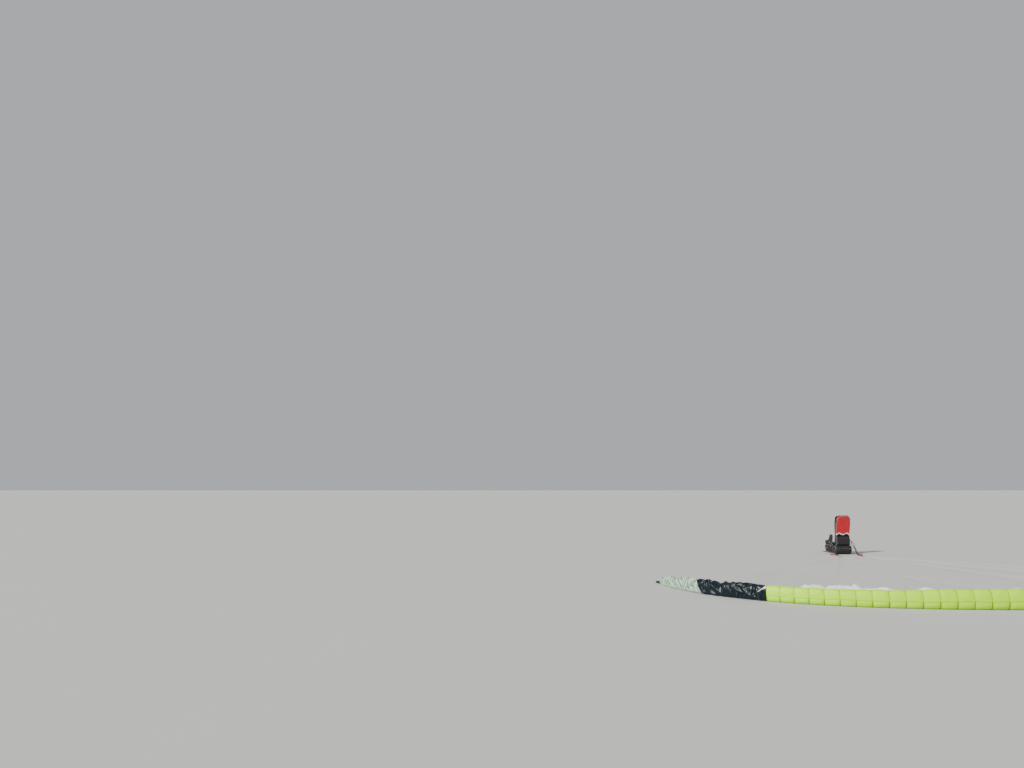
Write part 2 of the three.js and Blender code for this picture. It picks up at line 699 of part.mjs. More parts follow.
function chestStrap() {
  const path = [
    [-190, 107.8],
    [-230, 111],
    [-330, 106],
  ].map(([up, out]) => onBack(-92, BACK_HIGH - 40 + up, -out));
  const band = strap(path, 24, 3);
  const end = path.at(-1);
  const buckle = box(end.x - 19, end.x + 19, end.y - 4, end.y + 6, end.z - 46, end.z + 4);
  return join(band, buckle);
}

function legStrap() {
  const [y0, y1] = [SEAT_START + 70, SEAT_START + 330];
  const band = box(-115, -75, y0, y1, seatTop + GAP, seatTop + GAP + 4);
  const buckle = box(-122, -68, y1 - 30, y1 + 26, seatTop + GAP, seatTop + GAP + 12);
  return join(band, buckle);
}

// The reserve's handle stands off the right side panel, so that a hand goes behind it.
function reserveHandle() {
  const [x, y, z] = [SIDE_X + SIDE_T + GAP, SEAT_Y + 110, PROTECTOR_Z + 95];
  const path = [
    v3(x + 1.5, y - 48, z),
    v3(x + 26, y - 34, z),
    v3(x + 30, y, z),
    v3(x + 26, y + 34, z),
    v3(x + 1.5, y + 48, z),
  ];
  return strap(path, 24, 6, v3(0, 0, 1));
}

function speedBar() {
  const [y, z] = [SEAT_Y + 500, 8.3];
  const side = PROTECTOR_HALF + GAP;
  const bar = rod([v3(-side - 8, y, z), v3(side + 8, y, z)], 8, v3(0, 0, 1), 12);
  const cord = (sign) => {
    const foot = v3(sign * (side + 2), y, z);
    const turn = v3(sign * (side + 2), SEAT_Y + 360, 60);
    const end = v3(sign * (side + 2), SEAT_Y + 250, 120);
    return strap([foot, turn, end], 3, 3, v3(0, 0, 1), 6);
  };
  return join(bar, cord(-1), cord(1));
}

addCanopy();
for (const row of ROWS) addPair(`lines_${row.name}_*`, lineRow(row), CORD);
addPair("brake_lines_*", brakeLines(), CORD);
for (const row of ROWS) addPair(`quick_link_${row.name}_*`, quickLink(-LINK_X - row.link * LINK_PITCH), STEEL);
addPair("riser_*", risers(), WEBBING);
addPair("brake_sheave_*", sheave(), PLASTIC);
addPair("brake_handle_*", brakeHandle(), RED);
addPair("carabiner_*", carabiner(), ALLOY);
addPair("carabiner_gate_*", gate(), ALLOY);
addPair("hanging_strap_*", hangingStrap(), WEBBING);
add("protector", protector(), BLACK);
add("back", back(), BLACK);
add("back_panel", backPanel(), RED);
add("reserve_container", reserveContainer(), BLACK);
add("reserve_handle", reserveHandle(), RED);
add("seat", seat(), BLACK);
addPair("side_panel_*", sidePanel(), BLACK);
addPair("shoulder_strap_*", shoulderStrap(), BLACK);
addPair("chest_strap_*", chestStrap(), WEBBING);
addPair("leg_strap_*", legStrap(), WEBBING);
add("speed_bar", speedBar(), ALLOY);

// The origin is under the middle of the whole paraglider, on the ground.
const bounds = new THREE.Box3().setFromObject(paraglider);
const middle = bounds.getCenter(v3(0, 0, 0));
paraglider.position.set(-middle.x, -middle.y, -bounds.min.z);
paraglider.updateMatrixWorld(true);

export default paraglider;
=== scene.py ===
import json
import math

import bpy
import numpy as np
from bpy.props import FloatProperty, FloatVectorProperty, IntProperty, PointerProperty
from mathutils import Matrix, Vector
from mathutils.bvhtree import BVHTree

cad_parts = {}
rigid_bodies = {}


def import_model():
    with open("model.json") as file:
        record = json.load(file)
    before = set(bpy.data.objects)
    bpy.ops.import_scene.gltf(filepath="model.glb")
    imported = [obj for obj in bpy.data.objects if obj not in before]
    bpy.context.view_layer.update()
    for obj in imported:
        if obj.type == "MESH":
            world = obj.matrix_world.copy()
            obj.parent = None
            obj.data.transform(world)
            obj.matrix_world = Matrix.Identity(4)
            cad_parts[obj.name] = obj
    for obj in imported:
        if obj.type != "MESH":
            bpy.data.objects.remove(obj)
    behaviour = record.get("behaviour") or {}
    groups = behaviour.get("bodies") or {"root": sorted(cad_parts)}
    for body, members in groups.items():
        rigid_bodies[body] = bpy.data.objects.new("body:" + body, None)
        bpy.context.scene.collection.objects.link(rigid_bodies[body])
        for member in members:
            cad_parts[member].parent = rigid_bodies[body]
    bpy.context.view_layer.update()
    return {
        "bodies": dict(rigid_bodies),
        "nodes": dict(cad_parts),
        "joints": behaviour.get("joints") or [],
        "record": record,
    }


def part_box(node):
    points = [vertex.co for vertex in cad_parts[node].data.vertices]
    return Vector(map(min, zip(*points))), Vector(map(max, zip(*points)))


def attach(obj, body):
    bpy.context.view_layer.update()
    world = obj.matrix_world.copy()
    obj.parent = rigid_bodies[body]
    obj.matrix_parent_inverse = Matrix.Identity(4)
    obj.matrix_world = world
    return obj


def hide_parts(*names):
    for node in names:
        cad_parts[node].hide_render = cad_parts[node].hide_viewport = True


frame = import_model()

bl_info = {
    "name": "Paraglider laid out for launch",
    "version": (1, 0, 0),
    "blender": (4, 5, 0),
    "location": "View3D > Sidebar > Paraglider",
    "description": "Builds a paraglider lying on the ground, with its lines, risers and empty harness",
    "category": "Add Mesh",
}

BASE = "wing_and_harness"

# The canopy's plan: metres along the nose from the middle to a tip, and how far the nose line turns
HALF_SPAN = 5.8
CELLS = 69
# The middle cell's width as a multiple of the mean, and how the cells narrow towards the tips
MIDDLE_CELL, CELL_POWER = 1.24, 2.6
TIP_HEADING, HEADING_POWER = math.radians(86.3), 2.18
# How far the seat's back is from the nose line, and how much nearer to it the protector's rear face is
SEAT_Y, PROTECTOR_BACK = 6.88, 0.15
# The protector's rear face tells where the nose line is in the frame.
NOSE_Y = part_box("protector")[0][1] - (SEAT_Y - PROTECTOR_BACK)

# How the canopy lies. Columns: distance from the middle, height of the nose, depth from the nose to
# the trailing edge, and height of the rear fold.
LAY = np.array(
    [
        (0.0, 0.256, 1.23, 0.046),
        (1.4, 0.232, 1.28, 0.052),
        (2.3, 0.204, 1.45, 0.058),
        (3.0, 0.194, 1.33, 0.052),
        (3.84, 0.192, 0.93, 0.046),
        (4.82, 0.176, 0.64, 0.038),
        (5.3, 0.142, 0.48, 0.03),
        (5.8, 0.092, 0.33, 0.022),
    ]
)

# The upper skin round the nose, from under it to the air inlet's upper lip.
# Columns: distance back and height, as shares of the nose's height, and how much of a cell's swelling
# is felt there.
NOSE_OUTLINE = np.array(
    [
        (0.34, 0.0, 0.0),
        (0.1, 0.04, 0.3),
        (0.01, 0.2, 1.0),
        (-0.02, 0.43, 0.5),
        (0.0, 0.7, 1.0),
        (0.08, 0.91, 1.0),
        (0.24, 1.0, 1.0),
        (0.44, 0.985, 0.8),
        (0.6, 0.92, 0.6),
    ]
)
SEAM_SHARE = 0.41
# How many points the section gets on each part of its way round the nose
NOSE_PARTS = (5, 7, 8, 8, 8, 7, 6, 5)
NOSE_ROWS = sum(NOSE_PARTS) + 1
# Heights of the upper skin's relief, in metres: each cell's own, creases, fine creases, and drawn-in seams
CELL_OWN, CELL_CREASES, CELL_FINE, SEAM_DEEP = 0.008, 0.005, 0.002, 0.0035
# Where the cells begin to slump, and how that looks: folds that cross each other, slow waves, and how
# far the cloth has sunk, also near the tips
SLUMP_FROM, SLUMP_ALL = 3.62, 3.95
FOLD_LINES = 300
SLUMP_WAVES, SLUMP_SUNK, TIP_SUNK = 0.036, 0.014, 0.024

# The lower skin from the inlet's lower lip back: the slope behind the lip, as shares of the nose's
# height, then the folds, as shares of the way to the trailing edge and heights.
LIP = ((1.0, 0.78), (1.2, 0.66), (1.6, 0.44), (2.15, 0.25))
FOLDS = ((0.22, 0.052), (0.4, 0.03), (0.56, 0.046), (0.7, 0.027))
REAR_FOLD = 0.86
LOWER_PARTS = (5, 6, 6, 6, 6, 6, 6, 6, 5, 4)
LOWER_ROWS = sum(LOWER_PARTS) + 1
# Heights of the lower skin's relief: the cells at the lip, creases along and across, waves, fine creases
BILLOW, ALONG_CREASES, CROSS_CREASES, LOWER_WAVES, LOWER_FINE = 0.012, 0.03, 0.02, 0.018, 0.006
# The lower skin's upper layer stays over the cloth that is folded under it.
LOWER_FLOOR = 0.0225
GROUND = 0.0004
SKIN_SEED = 11
# The wing that flies: its chord in the middle, half its span, and a section's length round each skin as
# shares of the chord
FLAT_CHORD, FLAT_HALF = 2.78, 6.0
UPPER_LENGTH, LOWER_LENGTH = 1.08, 0.97
# Where folds of the lower skin stand up higher: distance from the middle, half width, extra height
LUMPS = (
    (-3.45, 0.3, 0.04),
    (-3.2, 0.17, 0.012),
    (-3.0, 0.2, 0.036),
    (-2.7, 0.2, 0.036),
    (-2.45, 0.07, 0.034),
    (-2.26, 0.1, -0.014),
    (-1.98, 0.11, 0.02),
    (-1.36, 0.15, 0.056),
    (-0.1, 0.18, 0.048),
    (0.9, 0.3, 0.02),
    (1.9, 0.24, 0.034),
    (2.9, 0.32, 0.03),
)

# The skins' panels: name, colour, and first and last rib from the left tip
UPPER_PANELS = (
    ("canopy_left_tip", "mint", 0, 9),
    ("canopy_left_outer", "navy", 9, 15),
    ("canopy_left", "lime", 15, 28),
    ("canopy_centre", "lime", 28, 41),
    ("canopy_right", "lime", 41, 54),
    ("canopy_right_outer", "navy", 54, 60),
    ("canopy_right_tip", "mint", 60, 69),
)
LOWER_PANELS = (
    ("lower_skin_left_outer", 0, 15),
    ("lower_skin_left", 15, 28),
    ("lower_skin_centre", 28, 41),
    ("lower_skin_right", 41, 54),
    ("lower_skin_right_outer", 54, 69),
)

# The rows of lines: name, where it is fixed as a share of the depth, its height there above the rear
# fold as a share of the nose's height, its height at the quick link, which link, and the ribs that its
# lines are fixed to, counted from the tip, one group for each lower line
LONG_ROW = ((33, 29, 25), (23, 19, 15), (11, 9, 3))
ROWS = (
    ("a", 0.3, 0.3, 0.0096, -1, LONG_ROW),
    ("b", 0.55, 0.09, 0.0069, 0, LONG_ROW),
    ("c", 0.95, -0.1, 0.0042, 1, ((33, 27, 23), (19, 15, 9))),
)
# The brake lines: the ribs that they are fixed to, how far from the trailing edge, and their height at the
# riser
BRAKE_RIBS = (29, 23, 17, 9)
BRAKE_FROM_EDGE, BRAKE_LAYER = 0.024, 0.0015
# Where a lower line forks, as a share of its way, how far before its link a row's lines part, and how far
# apart the lines start that part there
CASCADE, KNOT, BESIDE = 0.62, 0.03, 0.0028
# A tab's foot and top: the share of its height, and its half width there
TAB_ENDS = ((0, 0.006), (1.02, 0.003))
# How far a tab's top is over the cloth at least, how long it is, how deep its foot sits, and how much of it
# stands bare
TAB_RISE, TAB_LONG, TAB_SUNK, TAB_BARE = 0.004, 0.009, 0.002, 0.005
# How steeply the cloth falls from a tab, and rises beside a line that presses it down, how far both are
# level first, how far the cloth stays under the line, and how far from the line that reaches
TAB_SLOPE, GROOVE_SLOPE = 0.75, 1.5
TAB_LEVEL, GROOVE_LEVEL, LINE_CLEAR, GROOVE_HALF = 0.012, 0.01, 0.004, 0.06
RIB_THICK, RIB_INSIDE, TRIM_THICK = 0.0006, 0.003, 0.0014

# Quick links, risers and carabiners
LINK_X, LINK_PITCH, LINK_Z = 0.228, 0.015, 0.005
LINK_Y = NOSE_Y + 6.33
LINK_LONG, LINK_HALF, LINK_BAR = 0.036, 0.0052, 0.002
RISER_WIDE, RISER_THICK = 0.012, 0.002
CARABINER_BAR, CARABINER_HALF, CARABINER_END = 0.0055, 0.0235, 0.0465
CARABINER_CORNER, FORGED_FLAT = 0.015, 0.86
GATE_BAR, GATE_END = 0.0042, 0.025
# How far below the carabiner a riser's webbing is sewn together, and the width of the loop round its bar
SEWN, LOOP_WIDE = 0.034, 0.014
SHEAVE = (0.264, LINK_Y + 0.19, 0.005)
HANDLE = (0.285, LINK_Y + 0.264, 0.0003)
HANDLE_LONG, HANDLE_WIDE, HANDLE_CORNER = 0.118, 0.066, 0.022
HANDLE_DEEP, HANDLE_WALL = 0.0194, 0.0042

# Harness
SEAT_BACK = NOSE_Y + SEAT_Y
PROTECTOR_TOP = 0.19
BACK_LEAN = math.radians(14)
BACK_HIGH, BACK_THICK, BACK_HALF = 0.65, 0.045, 0.16
SIDE_X, SIDE_THICK = 0.168, 0.006
LEG_STRAP_X, SHOULDER_X = 0.095, 0.092
SPEED_BAR_Y, SPEED_BAR_Z = SEAT_BACK + 0.5, 0.0083
# The share of a quarter turn by which a stuffed form's points are drawn to its edges
EDGE_TURN = 0.86
# The harness's side, as distance in front of the back and height: its upper edge, from the rear
SIDE_OUTLINE = (
    (-0.0165, 0.186),
    (-0.014, 0.199),
    (-0.002, 0.2105),
    (0.02, 0.2145),
    (0.06, 0.2125),
    (0.12, 0.204),
    (0.165, 0.148),
    (0.21, 0.094),
    (0.28, 0.08),
    (0.352, 0.0695),
    (0.372, 0.064),
    (0.379, 0.048),
    (0.3795, 0.034),
)
# Straps on the back's front: how far up from the shoulder, and how far out in front
SHOULDER_ROUTE = (
    (-0.03, 0.006),
    (-0.008, 0.04),
    (-0.034, 0.084),
    (-0.12, 0.106),
    (-0.26, 0.098),
    (-0.38, 0.054),
    (-0.43, 0.006),
)
SHOULDER_TAPE = ((-0.1, 0.1115), (-0.15, 0.1125), (-0.2, 0.1105), (-0.26, 0.1045), (-0.32, 0.084))
CHEST_ROUTE = ((-0.18, 0.1135), (-0.205, 0.1145), (-0.235, 0.1155), (-0.285, 0.111), (-0.325, 0.1065))
# Width and thickness of the padded straps, the tapes on them, the chest strap and the side straps
SHOULDER_PAD, LEG_PAD = (0.045, 0.0105), (0.038, 0.0055)
SHOULDER_WEB, LEG_WEB = (0.024, 0.0016), (0.025, 0.0016)
CHEST_WEB, SIDE_WEB = (0.023, 0.0022), (0.019, 0.0016)
# Width, length and thickness of the buckles
LEG_BUCKLE, CHEST_BUCKLE = (0.05, 0.054, 0.0095), (0.037, 0.048, 0.009)
# Radii of the speed bar's tube, caps, grips and cords, and of the piping along the harness's sides and seat
BAR_TUBE, BAR_CAP, BAR_GRIP, BAR_CORD = 0.0062, 0.0074, 0.0079, 0.0014
SIDE_PIPING, SEAT_PIPING = 0.0034, 0.0017
# How high the back's cross channels are sewn, and the protector's zip
BACK_CHANNELS = (0.12, 0.235, 0.35, 0.465, 0.565)
ZIP_HIGH = 0.128
# How a stuffed piece is filled by simulation
CLOTH_PRESSURE, CLOTH_FRAMES = 4.0, 16

# The risers' bend at the ground, the hanging straps' upper end, and the carabiners between them
RISER_FOOT = Vector((LINK_X, LINK_Y + LINK_LONG + 0.24, LINK_Z))
ANCHOR = Vector((LINK_X, SEAT_BACK + 0.09, 0.33))
UPWARD = (ANCHOR - RISER_FOOT).normalized()
CARABINER_FOOT = RISER_FOOT + 0.258 * UPWARD
CARABINER_MIDDLE = CARABINER_FOOT + CARABINER_END * UPWARD
CARABINER_TOP = CARABINER_MIDDLE + CARABINER_END * UPWARD

ACROSS, BACKWARD, UP = (1, 0, 0), (0, 1, 0), (0, 0, 1)
# The way out of the hanging straps' flat side
STRAP_OUT = UPWARD.cross(Vector(ACROSS))
# The grooved wheel of a brake pulley: radius and height
SHEAVE_PROFILE = (
    (0.002, 0.0033),
    (0.0078, 0.0033),
    (0.008, 0.0036),
    (0.0072, 0.0046),
    (0.0071, 0.005),
    (0.0072, 0.0054),
    (0.008, 0.0064),
    (0.0078, 0.0067),
    (0.002, 0.0067),
)

# From the photograph: where the camera stood, its height over the ground that the canopy lies on,
# and how far it looks up from that sloping ground
LENS = 26.7
CAMERA_SIDE, CAMERA_AWAY, CAMERA_HIGH = -6.91, 9.37, 1.57
CAMERA_PITCH = math.radians(7.1)
FLOOR_HALF = 90.0
SUN_TURN = (math.radians(60), math.radians(-8), math.radians(-48))


# Places on the canopy
def rib(count):
    share = 2 * np.asarray(count, dtype=float) / CELLS - 1
    narrowing = (MIDDLE_CELL - 1) * np.sign(share) * np.abs(share) ** CELL_POWER
    return HALF_SPAN * (MIDDLE_CELL * share - narrowing)


def heading(s):
    return np.sign(s) * TIP_HEADING * (np.abs(s) / HALF_SPAN) ** HEADING_POWER


NOSE_STEPS = 400
NOSE_STEP = HALF_SPAN / NOSE_STEPS
NOSE_TURN = heading((np.arange(NOSE_STEPS) + 0.5) * NOSE_STEP)
NOSE_LINE_X = np.concatenate(([0.0], np.cumsum(NOSE_STEP * np.cos(NOSE_TURN))))
NOSE_LINE_Y = np.concatenate(([0.0], np.cumsum(NOSE_STEP * np.sin(NOSE_TURN))))


def place(s, n, z):
    """Points of the canopy: s along the nose, n back from it at a right angle, z up."""
    s, n, z = np.broadcast_arrays(s, n, z)
    at = np.minimum(np.abs(s), HALF_SPAN) / NOSE_STEP
    steps = np.arange(NOSE_STEPS + 1)
    beyond = np.maximum(np.abs(s) - HALF_SPAN, 0)
    turn = heading(np.clip(s, -HALF_SPAN, HALF_SPAN))
    x = np.sign(s) * (np.interp(at, steps, NOSE_LINE_X) + beyond * np.cos(turn))
    y = np.interp(at, steps, NOSE_LINE_Y) + beyond * np.abs(np.sin(turn))
    return np.stack([x - n * np.sin(turn), NOSE_Y + y + n * np.cos(turn), z], axis=-1)


def lay(s, column):
    at = np.minimum(np.abs(s), HALF_SPAN)
    i = np.clip(np.searchsorted(LAY[:, 0], at), 1, len(LAY) - 1)
    share = smooth_step(at, LAY[i - 1, 0], LAY[i, 0])
    return LAY[i - 1, column] + (LAY[i, column] - LAY[i - 1, column]) * share


def nose_height(s):
    return lay(s, 1)


def depth(s):
    return lay(s, 2)


def rear_fold(s):
    return lay(s, 3)


# Cloth
def smooth_step(x, low, high):
    t = np.clip((x - low) / (high - low), 0, 1)
    return t * t * (3 - 2 * t)


def hill(x, middle, half):
    return np.exp(-(((x - middle) / half) ** 2))


def lattice_noise(u, v, seed):
    """Smooth values from 0 to 1, with a new one at each whole step of u or v."""
    table = np.random.default_rng(seed).random((256, 256))
    iu, iv = np.floor(u).astype(int), np.floor(v).astype(int)
    fu, fv = smooth_step(u - iu, 0, 1), smooth_step(v - iv, 0, 1)
    low = table[iu % 256, iv % 256] * (1 - fu) + table[(iu + 1) % 256, iv % 256] * fu
    high = table[iu % 256, (iv + 1) % 256] * (1 - fu) + table[(iu + 1) % 256, (iv + 1) % 256] * fu
    return low * (1 - fv) + high * fv


def creases(u, v, seed):
    """Sharp folds between soft hollows, from 0 to 1."""
    bend = lattice_noise(u * 0.5 + 7.3, v * 0.5, seed + 1)
    one = 1 - np.abs(2 * lattice_noise(u + bend, v + 0.6 * bend, seed) - 1)
    two = 1 - np.abs(2 * lattice_noise(2.1 * u - bend, 2.1 * v + 3.1, seed + 2) - 1)
    return 0.7 * one**1.6 + 0.3 * two**1.6


def fold_lines(s, v, seed):
    """The height of sharp folds that lie in all ways over the slumped outer cells."""
    chance = np.random.default_rng(seed)
    rise = np.zeros(np.broadcast(s, v).shape)
    for _ in range(FOLD_LINES):
        middle = chance.choice((-1, 1)) * chance.uniform(3.65, 5.85)
        up, turn = chance.uniform(0.0, 0.5), chance.uniform(0.45, 2.7)
        long, wide = chance.uniform(0.07, 0.26), chance.uniform(0.028, 0.06)
        high, bend = wide * chance.uniform(0.3, 0.75), chance.uniform(-1.5, 1.5)
        # The slack cloth near the tips lies in larger folds.
        larger = 1.1 + 0.7 * smooth_step(abs(middle), 4.6, 4.9)
        long, wide, high = long * larger, wide * larger, high * larger
        along = (s - middle) * math.cos(turn) + (v - up) * math.sin(turn)
        away = (v - up) * math.cos(turn) - (s - middle) * math.sin(turn) + bend * along**2
        across = np.clip(1 - np.abs(away) / wide, 0, 1) ** 1.25
        rise = np.maximum(rise, high * across * np.clip(1 - (along / long) ** 2, 0, 1))
    return rise


def smooth_rows(control, per_part):
    """A Catmull-Rom curve through the control rows, with per_part[i] points on its part i."""
    ends = np.concatenate((2 * control[:1] - control[1:2], control, 2 * control[-1:] - control[-2:-1]))
    rows = []
    for i, count in enumerate(per_part):
        a, b, c, d = ends[i : i + 4]
        for t in np.arange(count) / count:
            square = (2 * a - 5 * b + 4 * c - d) * t * t
            rows.append(0.5 * (2 * b + (c - a) * t + square + (3 * b - a - 3 * c + d) * t**3))
    rows.append(ends[-2])
    return np.array(rows)


def run_length(points):
    """How far along its own column each point is."""
    steps = np.cumsum(np.linalg.norm(np.diff(points, axis=0), axis=1), axis=0)
    return np.concatenate((np.zeros_like(steps[:1]), steps))


def outward(rows):
    """Unit steps to the left of the way that the rows run."""
    step = np.gradient(rows, axis=0)
    out = np.stack([-step[:, 1], step[:, 0]], axis=1)
    return out / np.maximum(np.linalg.norm(out, axis=1, keepdims=True), 1e-9)


def crumpled(s):
    """How much the outer cells, which hold no air at all, have slumped: 0 in the middle cells."""
    return smooth_step(np.abs(s), SLUMP_FROM, SLUMP_ALL)


def cell_share(at):
    """0 at a rib and 1 in the middle of a cell."""
    return 1 - np.abs(2 * (at % 1.0) - 1)


def flat_chord(s):
    """How long the wing's section is at s once it flies."""
    return FLAT_CHORD * np.sqrt(1 - (np.abs(s) / FLAT_HALF) ** 2)


def upper_section(at):
    """The upper skin over each place at, counted in cells from the left tip: n, z, and the height share."""
    s = rib(at)
    h, d = nose_height(s), depth(s)
    one = np.ones_like(s)
    nose = smooth_rows(np.array([(a * h, b * h) for a, b, _ in NOSE_OUTLINE]), NOSE_PARTS)
    # The spare cloth lies under the canopy in a flat double fold.
    spare = UPPER_LENGTH * flat_chord(s) - run_length(nose)[-1] - 0.97 * d + NOSE_OUTLINE[0, 0] * h
    fold = np.clip(0.985 * d - spare / 2, 0.3 * d, 0.93 * d)
    base = [
        (d, 0.013 * one),
        (fold, 0.0125 * one),
        (fold - 0.03 * d, 0.0095 * one),
        (fold, 0.0065 * one),
        (0.96 * d, 0.006 * one),
        (0.985 * d, 0.003 * one),
        (0.96 * d, 0.0005 * one),
        (0.5 * d, 0.0004 * one),
    ]
    felt = smooth_rows(NOSE_OUTLINE[:, 2:], NOSE_PARTS)[:, 0][:, None]
    share = nose[:, 1] / h + 0.05 * (lattice_noise(at * 0.83, 0.0 * at, SKIN_SEED + 2) - 0.5)
    share[: NOSE_PARTS[0]] = np.minimum(share[: NOSE_PARTS[0]], 0.05)
    height = np.maximum.accumulate(share, axis=0)
    lip = np.arange(len(nose)) >= sum(NOSE_PARTS[:6])
    height[lip] = 1.0 + 0.3 * np.linspace(0, 1, lip.sum())[:, None]
    u, v = s[None, :], run_length(nose)
    cell = cell_share(at)[None, :]
    held = 1 - (1 - cell) ** 6
    below = smooth_step(SEAM_SHARE - share, -0.04, 0.08)
    swell = sizes().swell * (1 - (1 - cell) ** 2.6) * (1 + 0.9 * below)
    own = lattice_noise(np.floor(at)[None, :] * 3.7 + 0.5, v / 0.12, SKIN_SEED) - 0.5
    folds = creases(u / 0.085 + v / 0.16, v / 0.07 - u / 0.3, SKIN_SEED + 5) - 0.4
    fine = creases(u / 0.05 - v / 0.09, v / 0.045 + u / 0.12, SKIN_SEED + 9) - 0.4
    move = felt * (swell + held * (CELL_OWN * own + CELL_CREASES * folds + CELL_FINE * fine))
    # The seams round the nose and at the ribs are drawn in.
    move = move - SEAM_DEEP * hill(share, SEAM_SHARE, 0.018) * held
    slump = crumpled(s)[None, :] * np.clip(share / 0.25, 0, 1)
    move = move * (1 - 0.6 * slump)
    waves = lattice_noise(u / 0.2, v / 0.24, SKIN_SEED + 17) - 0.5
    sunk = SLUMP_SUNK + TIP_SUNK * smooth_step(np.abs(u), 4.5, 5.0)
    move = move + slump * (fold_lines(u, v, SKIN_SEED + 13) + SLUMP_WAVES * waves - sunk)
    nose = nose + outward(nose) * move[:, None, :]
    nose[:, 1] = np.maximum(nose[:, 1], GROUND)
    n = np.concatenate([np.array([a for a, _ in base]), nose[:, 0]])
    z = np.concatenate([np.array([b for _, b in base]), nose[:, 1]])
    return n, z, np.concatenate([np.full((len(base), len(s)), -0.1), height])


def lower_section(at):
    """The lower skin over each place at: n, z, and the row's share of the way round."""
    s = rib(at)
    h, d = nose_height(s), depth(s)
    one = np.ones_like(s)
    slope_end = np.minimum(LIP[-1][0] * h, d / 2)
    control = [(a * slope_end / LIP[-1][0], b * h) for a, b in LIP]
    control += [(slope_end + (d - slope_end) * a, z * h / LAY[0, 1]) for a, z in FOLDS]
    rear = slope_end + (d - slope_end) * REAR_FOLD
    lumps = sum(high * hill(s, middle, half) for middle, half, high in LUMPS)
    control.append((rear, rear_fold(s) + lumps))
    control.append((d - 0.035, 0.031 * one))
    control.append((d - 0.008, 0.0235 * one))
    seen = smooth_rows(np.array(control), LOWER_PARTS)
    u, v = s[None, :], run_length(seen)
    back = np.clip(seen[:, 0] / d, 0, 1)
    cell = cell_share(at)[None, :]
    loose = smooth_step(back, 0.12, 0.4) * (1 - 0.8 * smooth_step(back, 0.93, 1.0))
    billow = BILLOW * (1 - (1 - cell) ** 2) * (1 - loose)
    bent = v / 0.11 + 0.5 * lattice_noise(u / 0.5, v / 0.4, 5)
    along = creases(u / 0.34 + 0.4 * v, bent, SKIN_SEED + 31) - 0.45
    cross = creases(u / 0.12 - v / 0.5, v / 0.3 + u / 0.6, SKIN_SEED + 37) - 0.45
    fine = creases(u / 0.05, v / 0.05 + u / 0.2, SKIN_SEED + 41) - 0.45
    waves = lattice_noise(u / 0.27, v / 0.16, SKIN_SEED + 43) - 0.5
    move = billow + loose * (ALONG_CREASES * along + CROSS_CREASES * cross + LOWER_WAVES * waves)
    move = move + (0.2 + 0.8 * loose) * LOWER_FINE * fine
    seen = seen + outward(seen) * move[:, None, :]
    seen[:, 1] = np.maximum(seen[:, 1], LOWER_FLOOR)
    # The rest of the cloth is folded under twice, and comes back to the trailing edge.
    spare = LOWER_LENGTH * flat_chord(s) - run_length(seen)[-1]
    fold = np.clip(d - spare / 4, 0.42 * d, 0.95 * d)
    under = [(d - 0.016, 0.0206 * one)]
    under += [(fold + back, z * one) for back, z in ((0, 0.0202), (-0.004, 0.0197), (0, 0.0192))]
    under += [(0.985 * d + back, z * one) for back, z in ((0, 0.0188), (0.003, 0.0182), (0, 0.0177))]
    under += [(fold + back, z * one) for back, z in ((0, 0.0172), (-0.004, 0.0167), (0, 0.0162))]
    under.append((d - 0.004, 0.0155 * one))
    n = np.concatenate([seen[:, 0], np.array([a for a, _ in under])])
    z = np.concatenate([seen[:, 1], np.array([b for _, b in under])])
    share = np.linspace(0, 1, len(n))[:, None] + 0 * s[None, :]
    return n, z, share


def skin_height(count, n):
    """How high the lower skin's upper side is over a rib, at n."""
    rows, high, _ = lower_section(np.array([float(count)]))
    return float(np.interp(n, rows[:LOWER_ROWS, 0], high[:LOWER_ROWS, 0]))


# Ways of making a piece
def deselect():
    if bpy.context.mode != "OBJECT":
        bpy.ops.object.mode_set(mode="OBJECT")
    bpy.ops.object.select_all(action="DESELECT")


def only(obj):
    deselect()
    obj.select_set(True)
    bpy.context.view_layer.objects.active = obj


def added(primitive, **settings):
    """A new primitive, with nothing else selected."""
    deselect()
    primitive(**settings)
    return bpy.context.object


def modified(obj, kind, **settings):
    """The piece with one modifier's result in its mesh."""
    modifier = obj.modifiers.new(kind.lower(), kind)
    for key, value in settings.items():
        setattr(modifier, key, value)
    only(obj)
    bpy.ops.object.modifier_apply(modifier=modifier.name)
    return obj


def joined(parts):
    """One object of several, whose place is in its mesh."""
    deselect()
    for part in parts:
        part.select_set(True)
    bpy.context.view_layer.objects.active = parts[0]
    if len(parts) > 1:
        bpy.ops.object.join()
    bpy.ops.object.transform_apply(location=True, rotation=True, scale=True)
    return bpy.context.object


def finish_piece(obj, name, finish, body=BASE, replaces=()):
    """Names a piece, and gives it its finish and the body that it rides on."""
    obj.name = name
    obj.data.name = name
    slot, material = surface(finish)
    obj.data.materials.clear()
    obj.data.materials.append(material)
    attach(obj, body)
    if replaces:
        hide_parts(*replaces)
    return obj


def coordinates(mesh):
    co = np.empty(len(mesh.vertices) * 3)
    mesh.vertices.foreach_get("co", co)
    return co.reshape(-1, 3)


def move_points(obj, co):
    obj.data.vertices.foreach_set("co", co.ravel())
    obj.data.update()


def grid_places(rows, columns):
    """The row and column of each vertex of a grid primitive, whose vertices run row by row."""
    return np.divmod(np.arange(rows * columns), columns)


